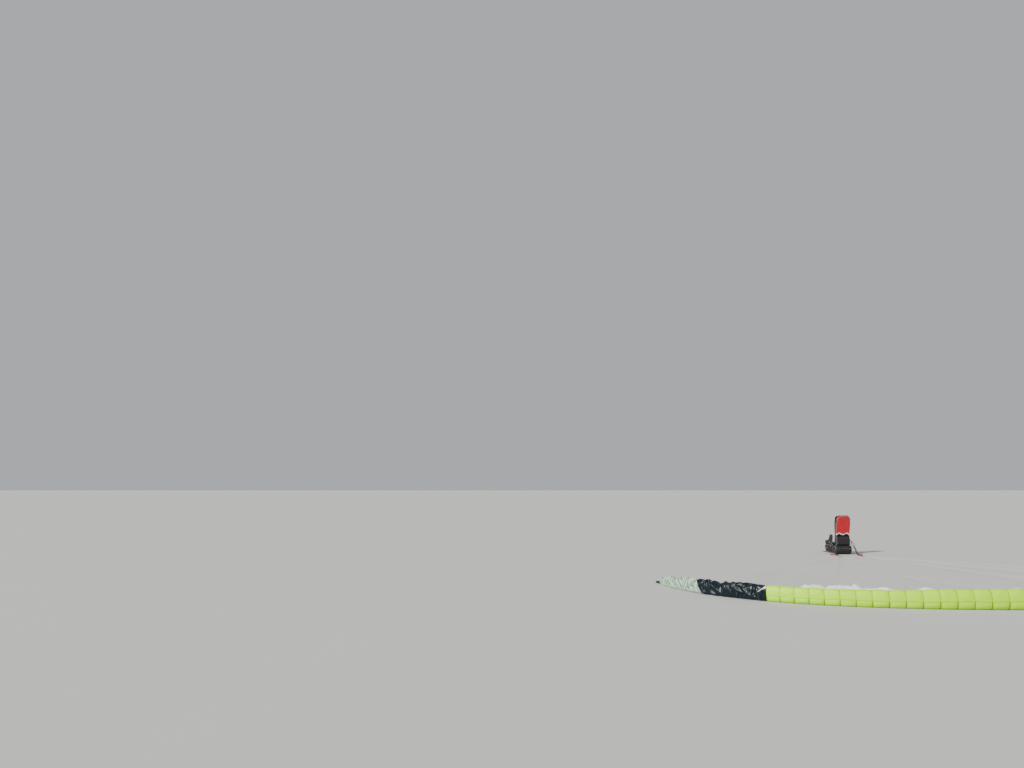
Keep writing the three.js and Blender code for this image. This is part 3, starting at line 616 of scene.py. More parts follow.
def cloth_grid(where, u, v):
    """A grid primitive whose points are moved to where[row, column], with its UV map from u and v."""
    rows, columns = where.shape[:2]
    cuts = {"x_subdivisions": columns - 1, "y_subdivisions": rows - 1}
    obj = added(bpy.ops.mesh.primitive_grid_add, size=1, **cuts)
    row, column = grid_places(rows, columns)
    corner = np.empty(len(obj.data.loops), dtype=int)
    obj.data.loops.foreach_get("vertex_index", corner)
    layer = obj.data.uv_layers[0]
    layer.name = "cloth"
    uv = np.stack([np.broadcast_to(a, (rows, columns)) for a in (u, v)], axis=-1)
    layer.uv.foreach_set("vector", uv[row[corner], column[corner]].ravel().astype(np.float32))
    move_points(obj, where[row, column])
    return obj


def thicken(obj, thickness, offset=0.0):
    modified(obj, "SOLIDIFY", thickness=thickness, offset=offset, use_even_offset=False)


def round_edges(obj, width, segments=2):
    sharp = {"limit_method": "ANGLE", "angle_limit": math.radians(40)}
    modified(obj, "BEVEL", width=width, segments=segments, **sharp)


def smooth(obj, degrees=40.0):
    only(obj)
    bpy.ops.object.shade_smooth_by_angle(angle=math.radians(degrees))
    return obj


def walled(sheet, thickness, degrees=60, offset=0.0):
    """A sheet with its wall: offset 0 for one on each side of it, -1 for one inwards."""
    thicken(sheet, thickness, offset)
    return smooth(sheet, degrees)


def edited(obj, *steps):
    """Runs each step on the whole piece in edit mode."""
    only(obj)
    bpy.ops.object.mode_set(mode="EDIT")
    bpy.ops.mesh.select_all(action="SELECT")
    for step in steps:
        step()
    bpy.ops.object.mode_set(mode="OBJECT")
    return obj


def recalculate(obj):
    """Merges doubles and turns the faces outwards."""
    return edited(
        obj,
        lambda: bpy.ops.mesh.remove_doubles(threshold=1e-6),
        lambda: bpy.ops.mesh.normals_make_consistent(inside=False),
    )


def eased(path, steps=5):
    """The path with soft bends through its points."""
    points = np.array([list(p) for p in path], dtype=float)
    if len(points) < 3 or steps < 2:
        return points
    return smooth_rows(points, [steps] * (len(points) - 1))


def arc(centre, first, second, radius, start, end, count):
    """Points round a centre, from start to end in degrees, from the first way towards the second."""
    centre, first, second = (np.array(way, dtype=float) for way in (centre, first, second))
    turns = np.linspace(math.radians(start), math.radians(end), count)
    return [centre + radius * (math.cos(a) * first + math.sin(a) * second) for a in turns]


def rods(paths, radius, sides=8, closed=False):
    """Round rods along paths, drawn as curves with a bevel and made a mesh."""
    obj = added(bpy.ops.curve.primitive_nurbs_path_add)
    curve = obj.data
    curve.splines.clear()
    for path in paths:
        spline = curve.splines.new("POLY")
        spline.points.add(len(path) - 1)
        for point, p in zip(spline.points, path):
            point.co = (*p, 1.0)
        spline.use_cyclic_u = closed
    curve.dimensions = "3D"
    curve.bevel_depth = radius
    curve.bevel_resolution = max(0, (sides - 4) // 2)
    curve.use_fill_caps = not closed
    only(obj)
    bpy.ops.object.convert(target="MESH")
    return smooth(bpy.context.object, 50)


def band(path, wide, thick, side=(1, 0, 0), columns=5, crown=0.0):
    """A flat strap along a path. Its UV map runs from -1 to 1 across it, and in metres along it."""
    points = np.array([list(p) for p in path], dtype=float)
    side = np.array(side, dtype=float)
    side /= np.linalg.norm(side)
    step = np.gradient(points, axis=0)
    up = np.cross(side, step)
    up /= np.linalg.norm(up, axis=1, keepdims=True)
    across = np.linspace(-1, 1, columns)
    where = points[:, None, :] + side * (across * wide / 2)[None, :, None]
    where = where + up[:, None, :] * (crown * (1 - across**2))[None, :, None]
    obj = cloth_grid(where, across, run_length(points)[:, None])
    thicken(obj, thick)
    round_edges(obj, thick * 0.3, 2)
    return smooth(obj, 50)


def block(low, high, bevel=0.002, segments=3):
    """A cube primitive at its size and place, with rounded edges."""
    low, high = Vector(low), Vector(high)
    obj = added(bpy.ops.mesh.primitive_cube_add, size=1, location=(low + high) / 2)
    obj.scale = high - low
    round_edges(joined([obj]), bevel, segments)
    return smooth(obj, 40)


def cylinder(start, end, radius, sides=24, bevel=0.0008):
    start, end = Vector(start), Vector(end)
    place = {"location": (start + end) / 2, "rotation": (end - start).to_track_quat("Z", "Y").to_euler()}
    size = {"radius": radius, "depth": (end - start).length, "vertices": sides}
    obj = joined([added(bpy.ops.mesh.primitive_cylinder_add, **size, **place)])
    if bevel:
        round_edges(obj, bevel, 2)
    return smooth(obj, 40)


class Pad:
    """A stuffed form: a rounded box, crowned on its faces, then bent by warp.

    Shares run from -1 to 1 across each of its three sides, and warp changes the points that they give.
    """

    def __init__(self, half, radius, crown, warp, wrinkle=0.0, seed=1):
        self.half, self.radius, self.crown = np.array(half), radius, crown
        self.warp, self.wrinkle, self.seed = warp, wrinkle, seed

    def at(self, share):
        share = np.asarray(share, dtype=float)
        flat = share * self.half
        inner = np.clip(flat, -(self.half - self.radius), self.half - self.radius)
        out = flat - inner
        out /= np.maximum(np.linalg.norm(out, axis=1, keepdims=True), 1e-9)
        rise = np.zeros(len(share))
        for axis in range(3):
            others = [k for k in range(3) if k != axis]
            full = np.prod([1 - np.abs(share[:, k]) ** 2.4 for k in others], axis=0)
            rise += np.abs(out[:, axis]) * self.crown[axis] * full
        u, v = share[:, 0] * 2.1 + share[:, 2] * 1.3, share[:, 1] * 2.3 - share[:, 2] * 1.7
        rise += self.wrinkle * (creases(u * 2.2 + 9, v * 2.2 + 9, self.seed) - 0.4)
        return self.warp(inner + out * (self.radius + rise[:, None]), share)

    def mesh(self, cuts):
        cube = added(bpy.ops.mesh.primitive_cube_add, size=2)
        obj = edited(cube, lambda: bpy.ops.mesh.subdivide(number_cuts=cuts))
        # The rows of points lie closer together towards the edges.
        turn = np.clip(coordinates(obj.data), -1, 1) * math.pi / 2 * EDGE_TURN
        move_points(obj, self.at(np.sin(turn) / math.sin(math.pi / 2 * EDGE_TURN)))
        return smooth(recalculate(obj), 60)


def on_back(x, up, out):
    """Points on the leaning back: up along it, out towards the wing."""
    x, up, out = np.broadcast_arrays(x, up, out)
    y = SEAT_BACK - up * math.sin(BACK_LEAN) - out * math.cos(BACK_LEAN)
    z = PROTECTOR_TOP + 0.0003 + up * math.cos(BACK_LEAN) - out * math.sin(BACK_LEAN)
    return np.stack([x, y, z], axis=-1)


def sided(side, p):
    """The same point on the left, side -1, or on the right, side 1."""
    return Vector((side * abs(p[0]), p[1], p[2]))


def side_band(side, path, wide, thick):
    return band([sided(side, p) for p in path], wide, thick)


def node_box(node):
    """A node's lowest and highest corners at rest."""
    return tuple(np.array(corner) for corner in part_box(node))


SIDES = (("left", -1), ("right", 1))


# Materials
class Finish:
    """Short names for making a material's nodes."""

    def __init__(self, name, roughness=0.5):
        self.material = bpy.data.materials.new(name)
        self.material.use_nodes = True
        self.tree = self.material.node_tree
        self.shader = self.tree.nodes["Principled BSDF"]
        self.shader.inputs["Roughness"].default_value = roughness
        self.count = 0

    def add(self, kind, inputs=(), **settings):
        """A node with its settings, and a value or a link for each of its named inputs."""
        node = self.tree.nodes.new(kind)
        self.count += 1
        node.location = (-180 * (1 + self.count % 12), -160 * (self.count // 12))
        for key, value in settings.items():
            setattr(node, key, value)
        for key, source in dict(inputs).items():
            self.set(source, node.inputs[key])
        return node

    def set(self, source, socket):
        if isinstance(source, (int, float, tuple)):
            socket.default_value = source
        elif source is not None:
            self.tree.links.new(source, socket)

    def math(self, operation, a, b=0.0):
        node = self.add("ShaderNodeMath", operation=operation)
        self.set(a, node.inputs[0])
        self.set(b, node.inputs[1])
        return node.outputs[0]

    def times(self, a, b):
        return self.math("MULTIPLY", a, b)

    def below(self, value, limit):
        return self.math("LESS_THAN", value, limit)

    def apart(self, a, b):
        """How far apart two values are."""
        return self.math("ABSOLUTE", self.math("SUBTRACT", a, b))

    def limited(self, value):
        return self.add("ShaderNodeClamp", {"Value": value}).outputs[0]

    def mix(self, share, a, b):
        node = self.add("ShaderNodeMix", {"Factor": share}, data_type="RGBA")
        for source, socket in zip((a, b), [s for s in node.inputs if s.type == "RGBA"]):
            self.set(source, socket)
        return [s for s in node.outputs if s.type == "RGBA"][0]

    def point(self, scale=(1, 1, 1)):
        here = self.add("ShaderNodeTexCoord").outputs["Object"]
        return self.add("ShaderNodeMapping", {"Scale": scale, "Vector": here}).outputs[0]

    def across(self):
        """The cloth's own two directions, from its UV map."""
        uv = self.add("ShaderNodeUVMap", uv_map="cloth").outputs[0]
        return self.add("ShaderNodeSeparateXYZ", {"Vector": uv}).outputs[:2]

    def ridge(self):
        """How far the cloth stands out there, from its attribute."""
        return self.add("ShaderNodeAttribute", attribute_name="ridge").outputs["Fac"]

    def noise(self, scale, detail=2.0, roughness=0.5, vector=None):
        inputs = {"Scale": scale, "Detail": detail, "Roughness": roughness}
        inputs["Vector"] = vector or self.point()
        return self.add("ShaderNodeTexNoise", inputs).outputs["Fac"]

    def spread(self, source, low, high):
        return self.add("ShaderNodeMapRange", {"Value": source, "To Min": low, "To Max": high}).outputs[0]

    def rough(self, source, low, high):
        """Roughness that varies from low to high with the source."""
        self.set(self.spread(source, low, high), self.shader.inputs["Roughness"])

    def weave(self, size, strength, height, where=None):
        """A square weave of that size in metres."""
        inputs = {"Scale": 1.0, "Brick Width": size, "Row Height": size, "Mortar Size": size * 0.12}
        inputs["Vector"] = where or self.point()
        grid = self.add("ShaderNodeTexBrick", inputs, offset=0.0, squash=1.0)
        return self.bump(grid.outputs["Fac"], strength, height)

    def bump(self, height, strength, distance, normal=None):
        inputs = {"Strength": strength, "Distance": distance, "Height": height, "Normal": normal}
        return self.add("ShaderNodeBump", inputs).outputs[0]

    def done(self, colour, normal=None):
        self.set(colour, self.shader.inputs["Base Color"])
        self.set(normal, self.shader.inputs["Normal"])
        return self.material


def rgba(colour, share=1.0):
    return tuple(min(1.0, c * share) for c in colour) + (1.0,)


# Half widths of the sail's seams as shares of a cell or of the way round the nose: at a rib, at a rib
# below the cross seam, and the cross seam
RIB_SEAM, PINCHED_SEAM, CROSS_SEAM = 0.024, 0.034, 0.016
# A cell's mean width, and the way round the nose and over the lower skin, in metres
CELL_WIDE, NOSE_LONG, LOWER_LONG = 0.168, 0.2, 1.3


def sail_cloth(name, colour, wrinkle, nose, shine, folds):
    """Coated ripstop: a fine grid, sewn seams at the ribs with painted shade along them, creases from
    packing, and painted highlights and shade on its folds.

    The folds' painted light is given by how strong the painted highlight on ridges and the painted shade in
    hollows get, how soon, and how dark the painted shade along the seams is.
    """
    f = Finish(name)
    (painted_highlight, dark), soon, painted_seam_shade = folds
    across, along = f.across()
    worn = f.noise(7.0, 4.0)
    cell = f.add("ShaderNodeTexWhiteNoise", {"W": f.math("FLOOR", across)}, noise_dimensions="1D")
    tone = f.math("ADD", f.times(worn, 0.6), f.times(cell.outputs["Value"], 0.4))
    base = f.mix(tone, rgba(colour, 0.9), rgba(colour, 1.06))
    # Painted shade along the rib seams and the cross seam, where the cloth is drawn in
    rib_near = f.apart(f.math("FRACT", f.math("ADD", across, 0.5)), 0.5)
    sewn = f.times(f.below(rib_near, RIB_SEAM), painted_seam_shade)
    if nose:
        # Below the cross seam the cloth gets painted shade, as it faces more downwards, and its rib seams,
        # which are pinched there, get wider painted shade.
        lower = f.below(along, SEAM_SHARE)
        base = f.mix(f.times(lower, 0.4), base, rgba(colour, 0.76))
        pinched_seam_shade = f.times(f.below(rib_near, PINCHED_SEAM), f.times(lower, 1.7 * painted_seam_shade))
        cross_seam_shade = f.times(f.below(f.apart(along, SEAM_SHARE), CROSS_SEAM), 1.1 * painted_seam_shade)
        sewn = f.math("MAXIMUM", f.math("MAXIMUM", sewn, pinched_seam_shade), cross_seam_shade)
    # The seams' creases get their painted shade.
    base = f.mix(sewn, base, rgba(colour, 0.25))
    # Painted highlights on the cloth's ridges, in a pale bluish tint, and painted shade in its hollows,
    # both from how far the cloth stands out
    out = f.times(f.ridge(), soon)
    peak = f.limited(f.math("SUBTRACT", out, 0.4))
    base = f.mix(f.times(peak, painted_highlight), base, (0.8, 0.92, 0.9, 1))
    base = f.mix(f.times(f.limited(f.times(out, -1.0)), dark), base, rgba(colour, 0.12))
    f.shader.inputs["Specular IOR Level"].default_value = 0.28
    f.rough(worn, *shine)
    long = NOSE_LONG if nose else LOWER_LONG
    laid = f.add("ShaderNodeCombineXYZ", {"X": f.times(across, CELL_WIDE), "Y": f.times(along, long)})
    fine = f.weave(0.005, 0.15, 0.0003, where=laid.outputs[0])
    return f.done(base, f.bump(f.apart(f.noise(24.0, 6.0, 0.65), 0.5), wrinkle, 0.02, fine))


def heavy_cloth(name, colour, weave=0.0011, roughness=(0.62, 0.85)):
    """Woven pack cloth, dusty along its creases."""
    f = Finish(name)
    worn = f.noise(14.0, 5.0, 0.6)
    base = f.mix(f.spread(worn, 0, 1), rgba(colour, 0.75), rgba(colour, 1.5))
    base = f.mix(f.times(f.noise(9.0, 6.0, 0.75), 0.012), base, (0.3, 0.28, 0.25, 1))
    f.rough(worn, *roughness)
    fine = f.weave(weave, 0.45, 0.0004)
    return f.done(base, f.bump(f.noise(38.0, 5.0, 0.6), 0.3, 0.004, fine))


def mesh_cloth(name, colour):
    """Spacer mesh: small round holes in a thick knit."""
    f = Finish(name, 0.85)
    inputs = {"Scale": 240.0, "Randomness": 0.12, "Vector": f.point()}
    cells = f.add("ShaderNodeTexVoronoi", inputs, feature="F1")
    base = f.mix(f.below(cells.outputs["Distance"], 0.3), rgba(colour, 1.3), rgba(colour, 0.35))
    return f.done(base, f.bump(cells.outputs["Distance"], 0.5, 0.0012))


def webbing(name, colour, thread):
    """Woven tape, with a herringbone face and a row of stitches inside each edge."""
    f = Finish(name)
    across, along = f.across()
    slant = f.apart(f.math("FRACT", f.times(across, 1.5)), 0.5)
    rows = f.math("FRACT", f.math("ADD", f.times(along, 620.0), f.times(slant, 2.0)))
    ridge = f.apart(rows, 0.5)
    base = f.mix(f.noise(60.0, 3.0), rgba(colour, 0.7), rgba(colour, 1.5))
    base = f.mix(f.times(ridge, 0.7), base, rgba(colour, 0.45))
    near = f.apart(f.math("ABSOLUTE", across), 0.76)
    dash = f.below(f.math("FRACT", f.times(along, 280.0)), 0.6)
    stitch = f.times(f.below(near, 0.045), dash)
    base = f.mix(f.times(stitch, 0.8), base, rgba(thread))
    f.rough(f.noise(60.0, 2.0), 0.6, 0.85)
    return f.done(base, f.bump(ridge, 0.5, 0.0006))


def braid(name, colour):
    """A line's woven sheath."""
    f = Finish(name, 0.6)
    base = f.mix(f.noise(300.0, 2.0), rgba(colour, 0.75), rgba(colour, 1.15))
    return f.done(base, f.bump(f.noise(900.0, 1.0), 0.5, 0.0004))


def metal(name, colour, roughness, scratched=0.12):
    f = Finish(name)
    f.shader.inputs["Metallic"].default_value = 1.0
    worn = f.noise(160.0, 4.0, 0.7, f.point((1, 1, 9)))
    f.rough(worn, roughness, roughness + scratched)
    base = f.mix(worn, rgba(colour, 0.85), rgba(colour, 1.12))
    return f.done(base, f.bump(worn, 0.08, 0.0005))


def moulded(name, colour, roughness=0.42):
    f = Finish(name)
    grain = f.noise(900.0, 2.0)
    worn = f.noise(40.0, 4.0)
    f.rough(worn, roughness - 0.08, roughness + 0.15)
    base = f.mix(worn, rgba(colour, 0.8), rgba(colour, 1.3))
    return f.done(base, f.bump(grain, 0.15, 0.0004))


def floor_paint(name, colour):
    f = Finish(name, 0.9)
    return f.done(f.mix(f.noise(0.6, 2.0), rgba(colour, 0.98), rgba(colour, 1.02)))


# Each finish: the record's slot, how it is made, its colour or the panel's name for it, and the rest
SURFACES = {
    "lime_sail": ("lime_cloth", sail_cloth, "lime", 0.3, True, (0.34, 0.58), ((0.15, 0.5), 0.8, 0.5)),
    "navy_sail": ("navy_cloth", sail_cloth, "navy", 0.25, True, (0.24, 0.38), ((0.14, 0.6), 1.6, 0.1)),
    "mint_sail": ("mint_cloth", sail_cloth, "mint", 0.4, True, (0.25, 0.42), ((0.75, 1.0), 4.2, 0.12)),
    "white_sail": ("white_cloth", sail_cloth, "white", 0.6, False, (0.34, 0.58), ((0.1, 0.25), 0.7, 0.35)),
    "white_lip": ("white_cloth", braid, "white"),
    "tip_cloth": ("black_cloth", heavy_cloth, (0.012, 0.012, 0.014), 0.004),
    "line_sheath": ("line", braid, "line"),
    "brake_line_sheath": ("line", braid, "brake_line"),
    "riser_webbing": ("webbing", webbing, "webbing", (0.45, 0.45, 0.42)),
    "red_webbing": ("red_cloth", webbing, "red", (0.75, 0.7, 0.66)),
    "tape": ("white_cloth", webbing, (0.3, 0.31, 0.32), (0.6, 0.6, 0.6)),
    "black_pack_cloth": ("black_cloth", heavy_cloth, "black"),
    "red_pack_cloth": ("red_cloth", heavy_cloth, "red", 0.0014, (0.5, 0.7)),
    "black_mesh": ("black_cloth", mesh_cloth, "black"),
    "white_piping": ("white_cloth", heavy_cloth, "piping", 0.0012),
    "grey_piping": ("black_cloth", heavy_cloth, (0.25, 0.26, 0.27), 0.0012),
    "steel": ("steel", metal, (0.55, 0.55, 0.56), 0.22),
    "anodised": ("alloy", metal, (0.17, 0.18, 0.2), 0.3),
    "gate_anodised": ("alloy", metal, (0.42, 0.43, 0.45), 0.25),
    "black_plastic": ("plastic", moulded, (0.018, 0.018, 0.02)),
    "white_plastic": ("plastic", moulded, (0.75, 0.76, 0.76)),
    "foam_grip": ("plastic", moulded, (0.02, 0.02, 0.022), 0.75),
}


def surface(finish):
    """The slot and the material of a finish, made the first time that it is asked for."""
    slot, make, colour, *rest = SURFACES[finish]
    if isinstance(colour, str):
        colour = tuple(getattr(colours(), colour))
    return slot, bpy.data.materials.get(finish) or make(finish, colour, *rest)


# Properties
def colour_property(name, description, default):
    settings = {"subtype": "COLOR", "default": default, "min": 0, "max": 1}
    return FloatVectorProperty(name=name, description=description, **settings)


def length_property(name, description, default):
    return FloatProperty(name=name, description=description, default=default, unit="LENGTH")


class PARAGLIDER_PG_colours(bpy.types.PropertyGroup):
    """Colours of the cloth and webbing"""

    lime: colour_property("Lime", "Middle of the canopy", (0.5, 0.95, 0.006))
    navy: colour_property("Navy", "Outer cells", (0.003, 0.01, 0.016))
    mint: colour_property("Mint", "Wing tips", (0.36, 0.53, 0.38))
    white: colour_property("White", "Lower skin and ribs", (0.9, 0.93, 0.91))
    line: colour_property("Lines", "Sheath of the lines", (0.72, 0.7, 0.5))
    brake_line: colour_property("Brake lines", "Sheath of the brake lines", (0.74, 0.62, 0.32))
    webbing: colour_property("Webbing", "Risers and straps", (0.02, 0.02, 0.024))
    black: colour_property("Black", "Harness cloth", (0.008, 0.008, 0.009))
    red: colour_property("Red", "Upper back and handles", (0.42, 0.006, 0.014))
    piping: colour_property("Piping", "Edge of the red panel", (0.72, 0.72, 0.7))
    floor: colour_property("Floor", "Plain studio floor", (0.56, 0.56, 0.55))


class PARAGLIDER_PG_sizes(bpy.types.PropertyGroup):
    """Sizes of the cloth's shape"""

    columns: IntProperty(name="Columns", description="Mesh columns in a cell", default=10, min=4, max=24)
    swell: length_property("Swell", "How far a cell stands out between its ribs", 0.007)
    cloth: length_property("Cloth", "Thickness of the sail cloth", 0.0012)
    line: length_property("Line", "Thickness of a lower line", 0.0019)
    upper_line: length_property("Upper line", "Thickness of an upper line", 0.0014)
    piping: length_property("Piping", "Thickness of the piping", 0.006)


def colours():
    return bpy.context.scene.paraglider_colours


def sizes():
    return bpy.context.scene.paraglider_sizes


# Canopy
def declare_skin(first, last):
    s = rib(np.linspace(first, last, 60))


def stand_out(where):
    """How far each point of a skin stands out of the cloth around it, in centimetres."""
    rows, columns = where.shape[:2]
    wide = np.pad(where, ((2, 2), (2, 2), (0, 0)), mode="edge")
    around = sum(wide[i : i + rows, j : j + columns] for i in range(5) for j in range(5)) / 25
    normal = np.cross(np.gradient(where, axis=1), np.gradient(where, axis=0))
    normal /= np.maximum(np.linalg.norm(normal, axis=2, keepdims=True), 1e-9)
    out = ((where - around) * normal).sum(axis=2)
    return np.clip((out - out.mean(axis=1, keepdims=True)) * 100, -1.5, 1.5)


def skin(section, first, last, per_cell, pressed=None):
    at = np.linspace(first, last, (last - first) * per_cell + 1)
    n, z, share = section(at)
    s = rib(at)[None, :]
    # Where mint and navy meet, the slumped cloth has slid towards the tip at its top.
    slid = 0.1 * hill(np.abs(s), abs(rib(9.0)), 0.42) * np.clip(share, 0, 1)
    where = place(s + np.sign(s) * slid, n, z)
    if pressed:
        where = pressed(where)
    obj = cloth_grid(where, at, share)
    layer = obj.data.attributes.new("ridge", "FLOAT", "POINT")
    layer.data.foreach_set("value", stand_out(where)[grid_places(*n.shape)])
    return obj


def face_up(obj):
    """Turns an open sheet over if its top faces look down."""
    faces = sorted(obj.data.polygons, key=lambda face: -face.center.z)
    if sum(face.normal.z for face in faces[: max(4, len(faces) // 40)]) < 0:
        edited(obj, bpy.ops.mesh.flip_normals)


def nose_rows(at):
    """The upper skin's rows round the nose at one place, from under it to the upper lip: n and z."""
    n, z, _ = upper_section(np.array([float(at)]))
    rows = np.stack([n, z], axis=1)[-NOSE_ROWS:]
    return (rows - RIB_INSIDE * outward(rows))[:, :, 0]


def one_rib(count, lean):
    """A rib, from the upper skin to the slope of the lower one."""
    s = float(rib(count))
    h, d = float(nose_height(s)), float(depth(s))
    slope_end = min(LIP[-1][0] * h, d / 2)
    front = nose_rows(count)
    slope = [(slope_end, 0.017)] + [(a * slope_end / LIP[-1][0], b * h - 0.006) for a, b in LIP[::-1]]
    slope = np.array(slope)
    run = run_length(slope)
    at = np.linspace(0, run[-1], len(front))
    rear = np.stack([np.interp(at, run, slope[:, k]) for k in (0, 1)], axis=1)
    share = np.linspace(0, 1, 6)[:, None]
    n = front[None, :, 0] * (1 - share) + rear[None, :, 0] * share
    z = np.maximum(front[None, :, 1] * (1 - share) + rear[None, :, 1] * share, 0.0168 * share + 0.001)
    bend = lean * np.sin(np.pi * share) * np.sin(np.pi * np.linspace(0, 1, len(front)))[None, :]
    return cloth_grid(place(s + bend, n, z), np.linspace(0.3, 0.7, len(front)), share)


class PARAGLIDER_OT_upper_skin(bpy.types.Operator):
    """Add the canopy's upper skin, panel by panel, with the ribs that are sewn to it"""

    bl_idname = "paraglider.upper_skin"
    bl_label = "Upper skin"

    def execute(self, context):
        for name, colour, first, last in UPPER_PANELS:
            slack = colour != "lime"
            obj = skin(upper_section, first, last, sizes().columns * (2 if slack else 1))
            face_up(obj)
            walled(obj, sizes().cloth, 32 if slack else 60, -1.0)
            finish_piece(obj, name + "_skin", colour + "_sail", replaces=(name,))
            counts = range(max(first, 1), min(last + 1, CELLS))
            inner = walled(joined([one_rib(i, 0.02 * math.sin(7.0 * i)) for i in counts]), RIB_THICK)
            together = [finish_piece(inner, name + "_ribs", "white_sail")]
            if name == "canopy_left_outer":
                together.append(self.turned_lip(last))
            if first == 0 or last == CELLS:
                together += self.tip_end(name, first == 0)
            declare_skin(first, last)
        return {"FINISHED"}

    def turned_lip(self, boundary):
        """A narrow end of the white lower lip that has come to lie over the last dark cell."""
        along = np.linspace(0, 1, 24)
        at = boundary - 0.02 - 0.62 * along
        n, z, share = upper_section(at)
        first = len(n) - NOSE_ROWS
        half = 0.5 * (0.017 * (1 - along) + 0.006) * (1 + 0.3 * np.sin(along * 9))
        edges = np.linspace(-1, 1, 6)
        rows = []
        for across in edges:
            level = 0.96 - 0.34 * along**1.2 + across * half / nose_height(rib(at))
            row = enumerate(first + np.argmin(np.abs(share[first:] - level), axis=0))
            spots = [
                (n[r, k], np.interp(level[k], share[first : r + 3, k], z[first : r + 3, k])) for k, r in row
            ]
            deep, high = np.array(spots).T
            rows.append(place(rib(at), deep - 0.004 - 0.007 * (1 - across**2), high))
        strip = walled(cloth_grid(np.array(rows), along, (edges[:, None] + 1) / 2), TRIM_THICK)
        return finish_piece(strip, "canopy_left_turned_lip", "white_lip")

    def tip_end(self, name, left):
        """The cloth that closes the wing's end, and the dark patch that stiffens its corner."""
        sign = -1 if left else 1
        s, at = sign * HALF_SPAN, 0.0 if left else float(CELLS)
        d = float(depth(s))
        front = nose_rows(at)
        foremost = int(np.argmin(front[:, 0]))
        rows, high, _ = lower_section(np.array([at]))
        seen = np.stack([rows[:LOWER_ROWS, 0], high[:LOWER_ROWS, 0]], axis=1)
        top = np.concatenate([front[foremost:], seen])
        foot = front[: foremost + 1][::-1]
        t = np.linspace(0, 1, 41)
        n = front[foremost, 0] + (d - front[foremost, 0]) * t**1.6
        upper = np.interp(n, np.maximum.accumulate(top[:, 0]), top[:, 1])
        lower = np.interp(n, foot[:, 0], foot[:, 1])
        across = np.linspace(0, 1, 9)[:, None]
        z = np.maximum(lower + (upper - lower) * across, 0.0008)
        bulge = np.sin(np.pi * across) * (0.014 * (1 - t**2) + 0.002)
        crumple = creases(n * 14, z * 14 + n * 9, 77) - 0.35
        bulge = bulge + 0.016 * crumple * np.sin(np.pi * across) * (1 - t)
        cap = place(s + sign * (0.001 + bulge), n + 0 * z, z)
        cap = walled(cloth_grid(cap, np.linspace(0.2, 0.8, 41), across), TRIM_THICK)
        finish_piece(cap, name + "_end", "mint_sail")

        def round_corner(p, share):
            high = 0.028 + p[:, 2] * (0.72 + 0.28 * share[:, 1])
            return place(s + sign * (p[:, 0] - 0.012), p[:, 1] - 0.02, high)

        patch = Pad((0.007, 0.038, 0.024), 0.006, (0.004, 0, 0), round_corner, 0.004, 5)
        return [cap, finish_piece(patch.mesh(12), name + "_corner", "tip_cloth")]


class PARAGLIDER_OT_lower_skin(bpy.types.Operator):
    """Add the canopy's lower skin, which lies on the rest in folds"""

    bl_idname = "paraglider.lower_skin"
    bl_label = "Lower skin"

    def execute(self, context):
        for name, first, last in LOWER_PANELS:
            obj = skin(lower_section, first, last, max(4, sizes().columns * 3 // 4), pressed_down)
            face_up(obj)
            walled(obj, sizes().cloth, 60, -1.0)
            finish_piece(obj, name + "_cloth", "white_sail", replaces=(name,))
            declare_skin(first, last)
        return {"FINISHED"}


# Lines
def fixing(side, count, n, over):
    """Where a line is fixed: its end, and the foot of its tab on the skin."""
    at = count if side < 0 else CELLS - count
    s = float(rib(at))
    floor = skin_height(at, n)
    top = max(floor + TAB_RISE, float(rear_fold(s)) + over * float(nose_height(s)))
    return Vector(place(s, n, top)), Vector(place(s, n, max(floor, top - TAB_LONG) - TAB_SUNK)), s


def beside(at, origin, count, side):
    """Places side by side at the end of a line, for the lines that part from it."""
    way = (at - origin).cross(Vector((0, 0, 1))).normalized() * -side
    return [at + way * ((i - (count - 1) / 2) * BESIDE) for i in range(count)]


def sleeve(start, end, far=0.035):
    """The sewn end of a line, which is thicker."""
    return [start, start + (end - start).normalized() * far]


def tab(top, foot, s):
    """A line's loop of tape on the skin."""
    turn = float(heading(s))
    wide = Vector((math.cos(turn), abs(math.sin(turn)) * math.copysign(1, s), 0))
    up = Vector((0, 0, max((top - foot).length, 0.006)))
    corners = [[list(foot + wide * w * half + up * k) for w in (-1, 1)] for k, half in TAB_ENDS]
    return cloth_grid(np.array(corners), np.array((0, 0.008)), np.array(((0,), (0.02,))))


def middle_of(points):
    return sum((Vector(p) for p in points), Vector()) / len(points)


def row_fixings(side, share, over, groups):
    """The ends of one row's lines, group by group, and where each lower line forks."""
    return [[fixing(side, c, share * float(depth(rib(c))), over) for c in group] for group in groups]


def link_knot(side, layer, link):
    """Where a row's lines end at its quick link, and where they part before it."""
    bar = Vector((side * (LINK_X + link * LINK_PITCH), LINK_Y, LINK_Z))
    return bar, Vector((bar.x, bar.y - KNOT, layer))


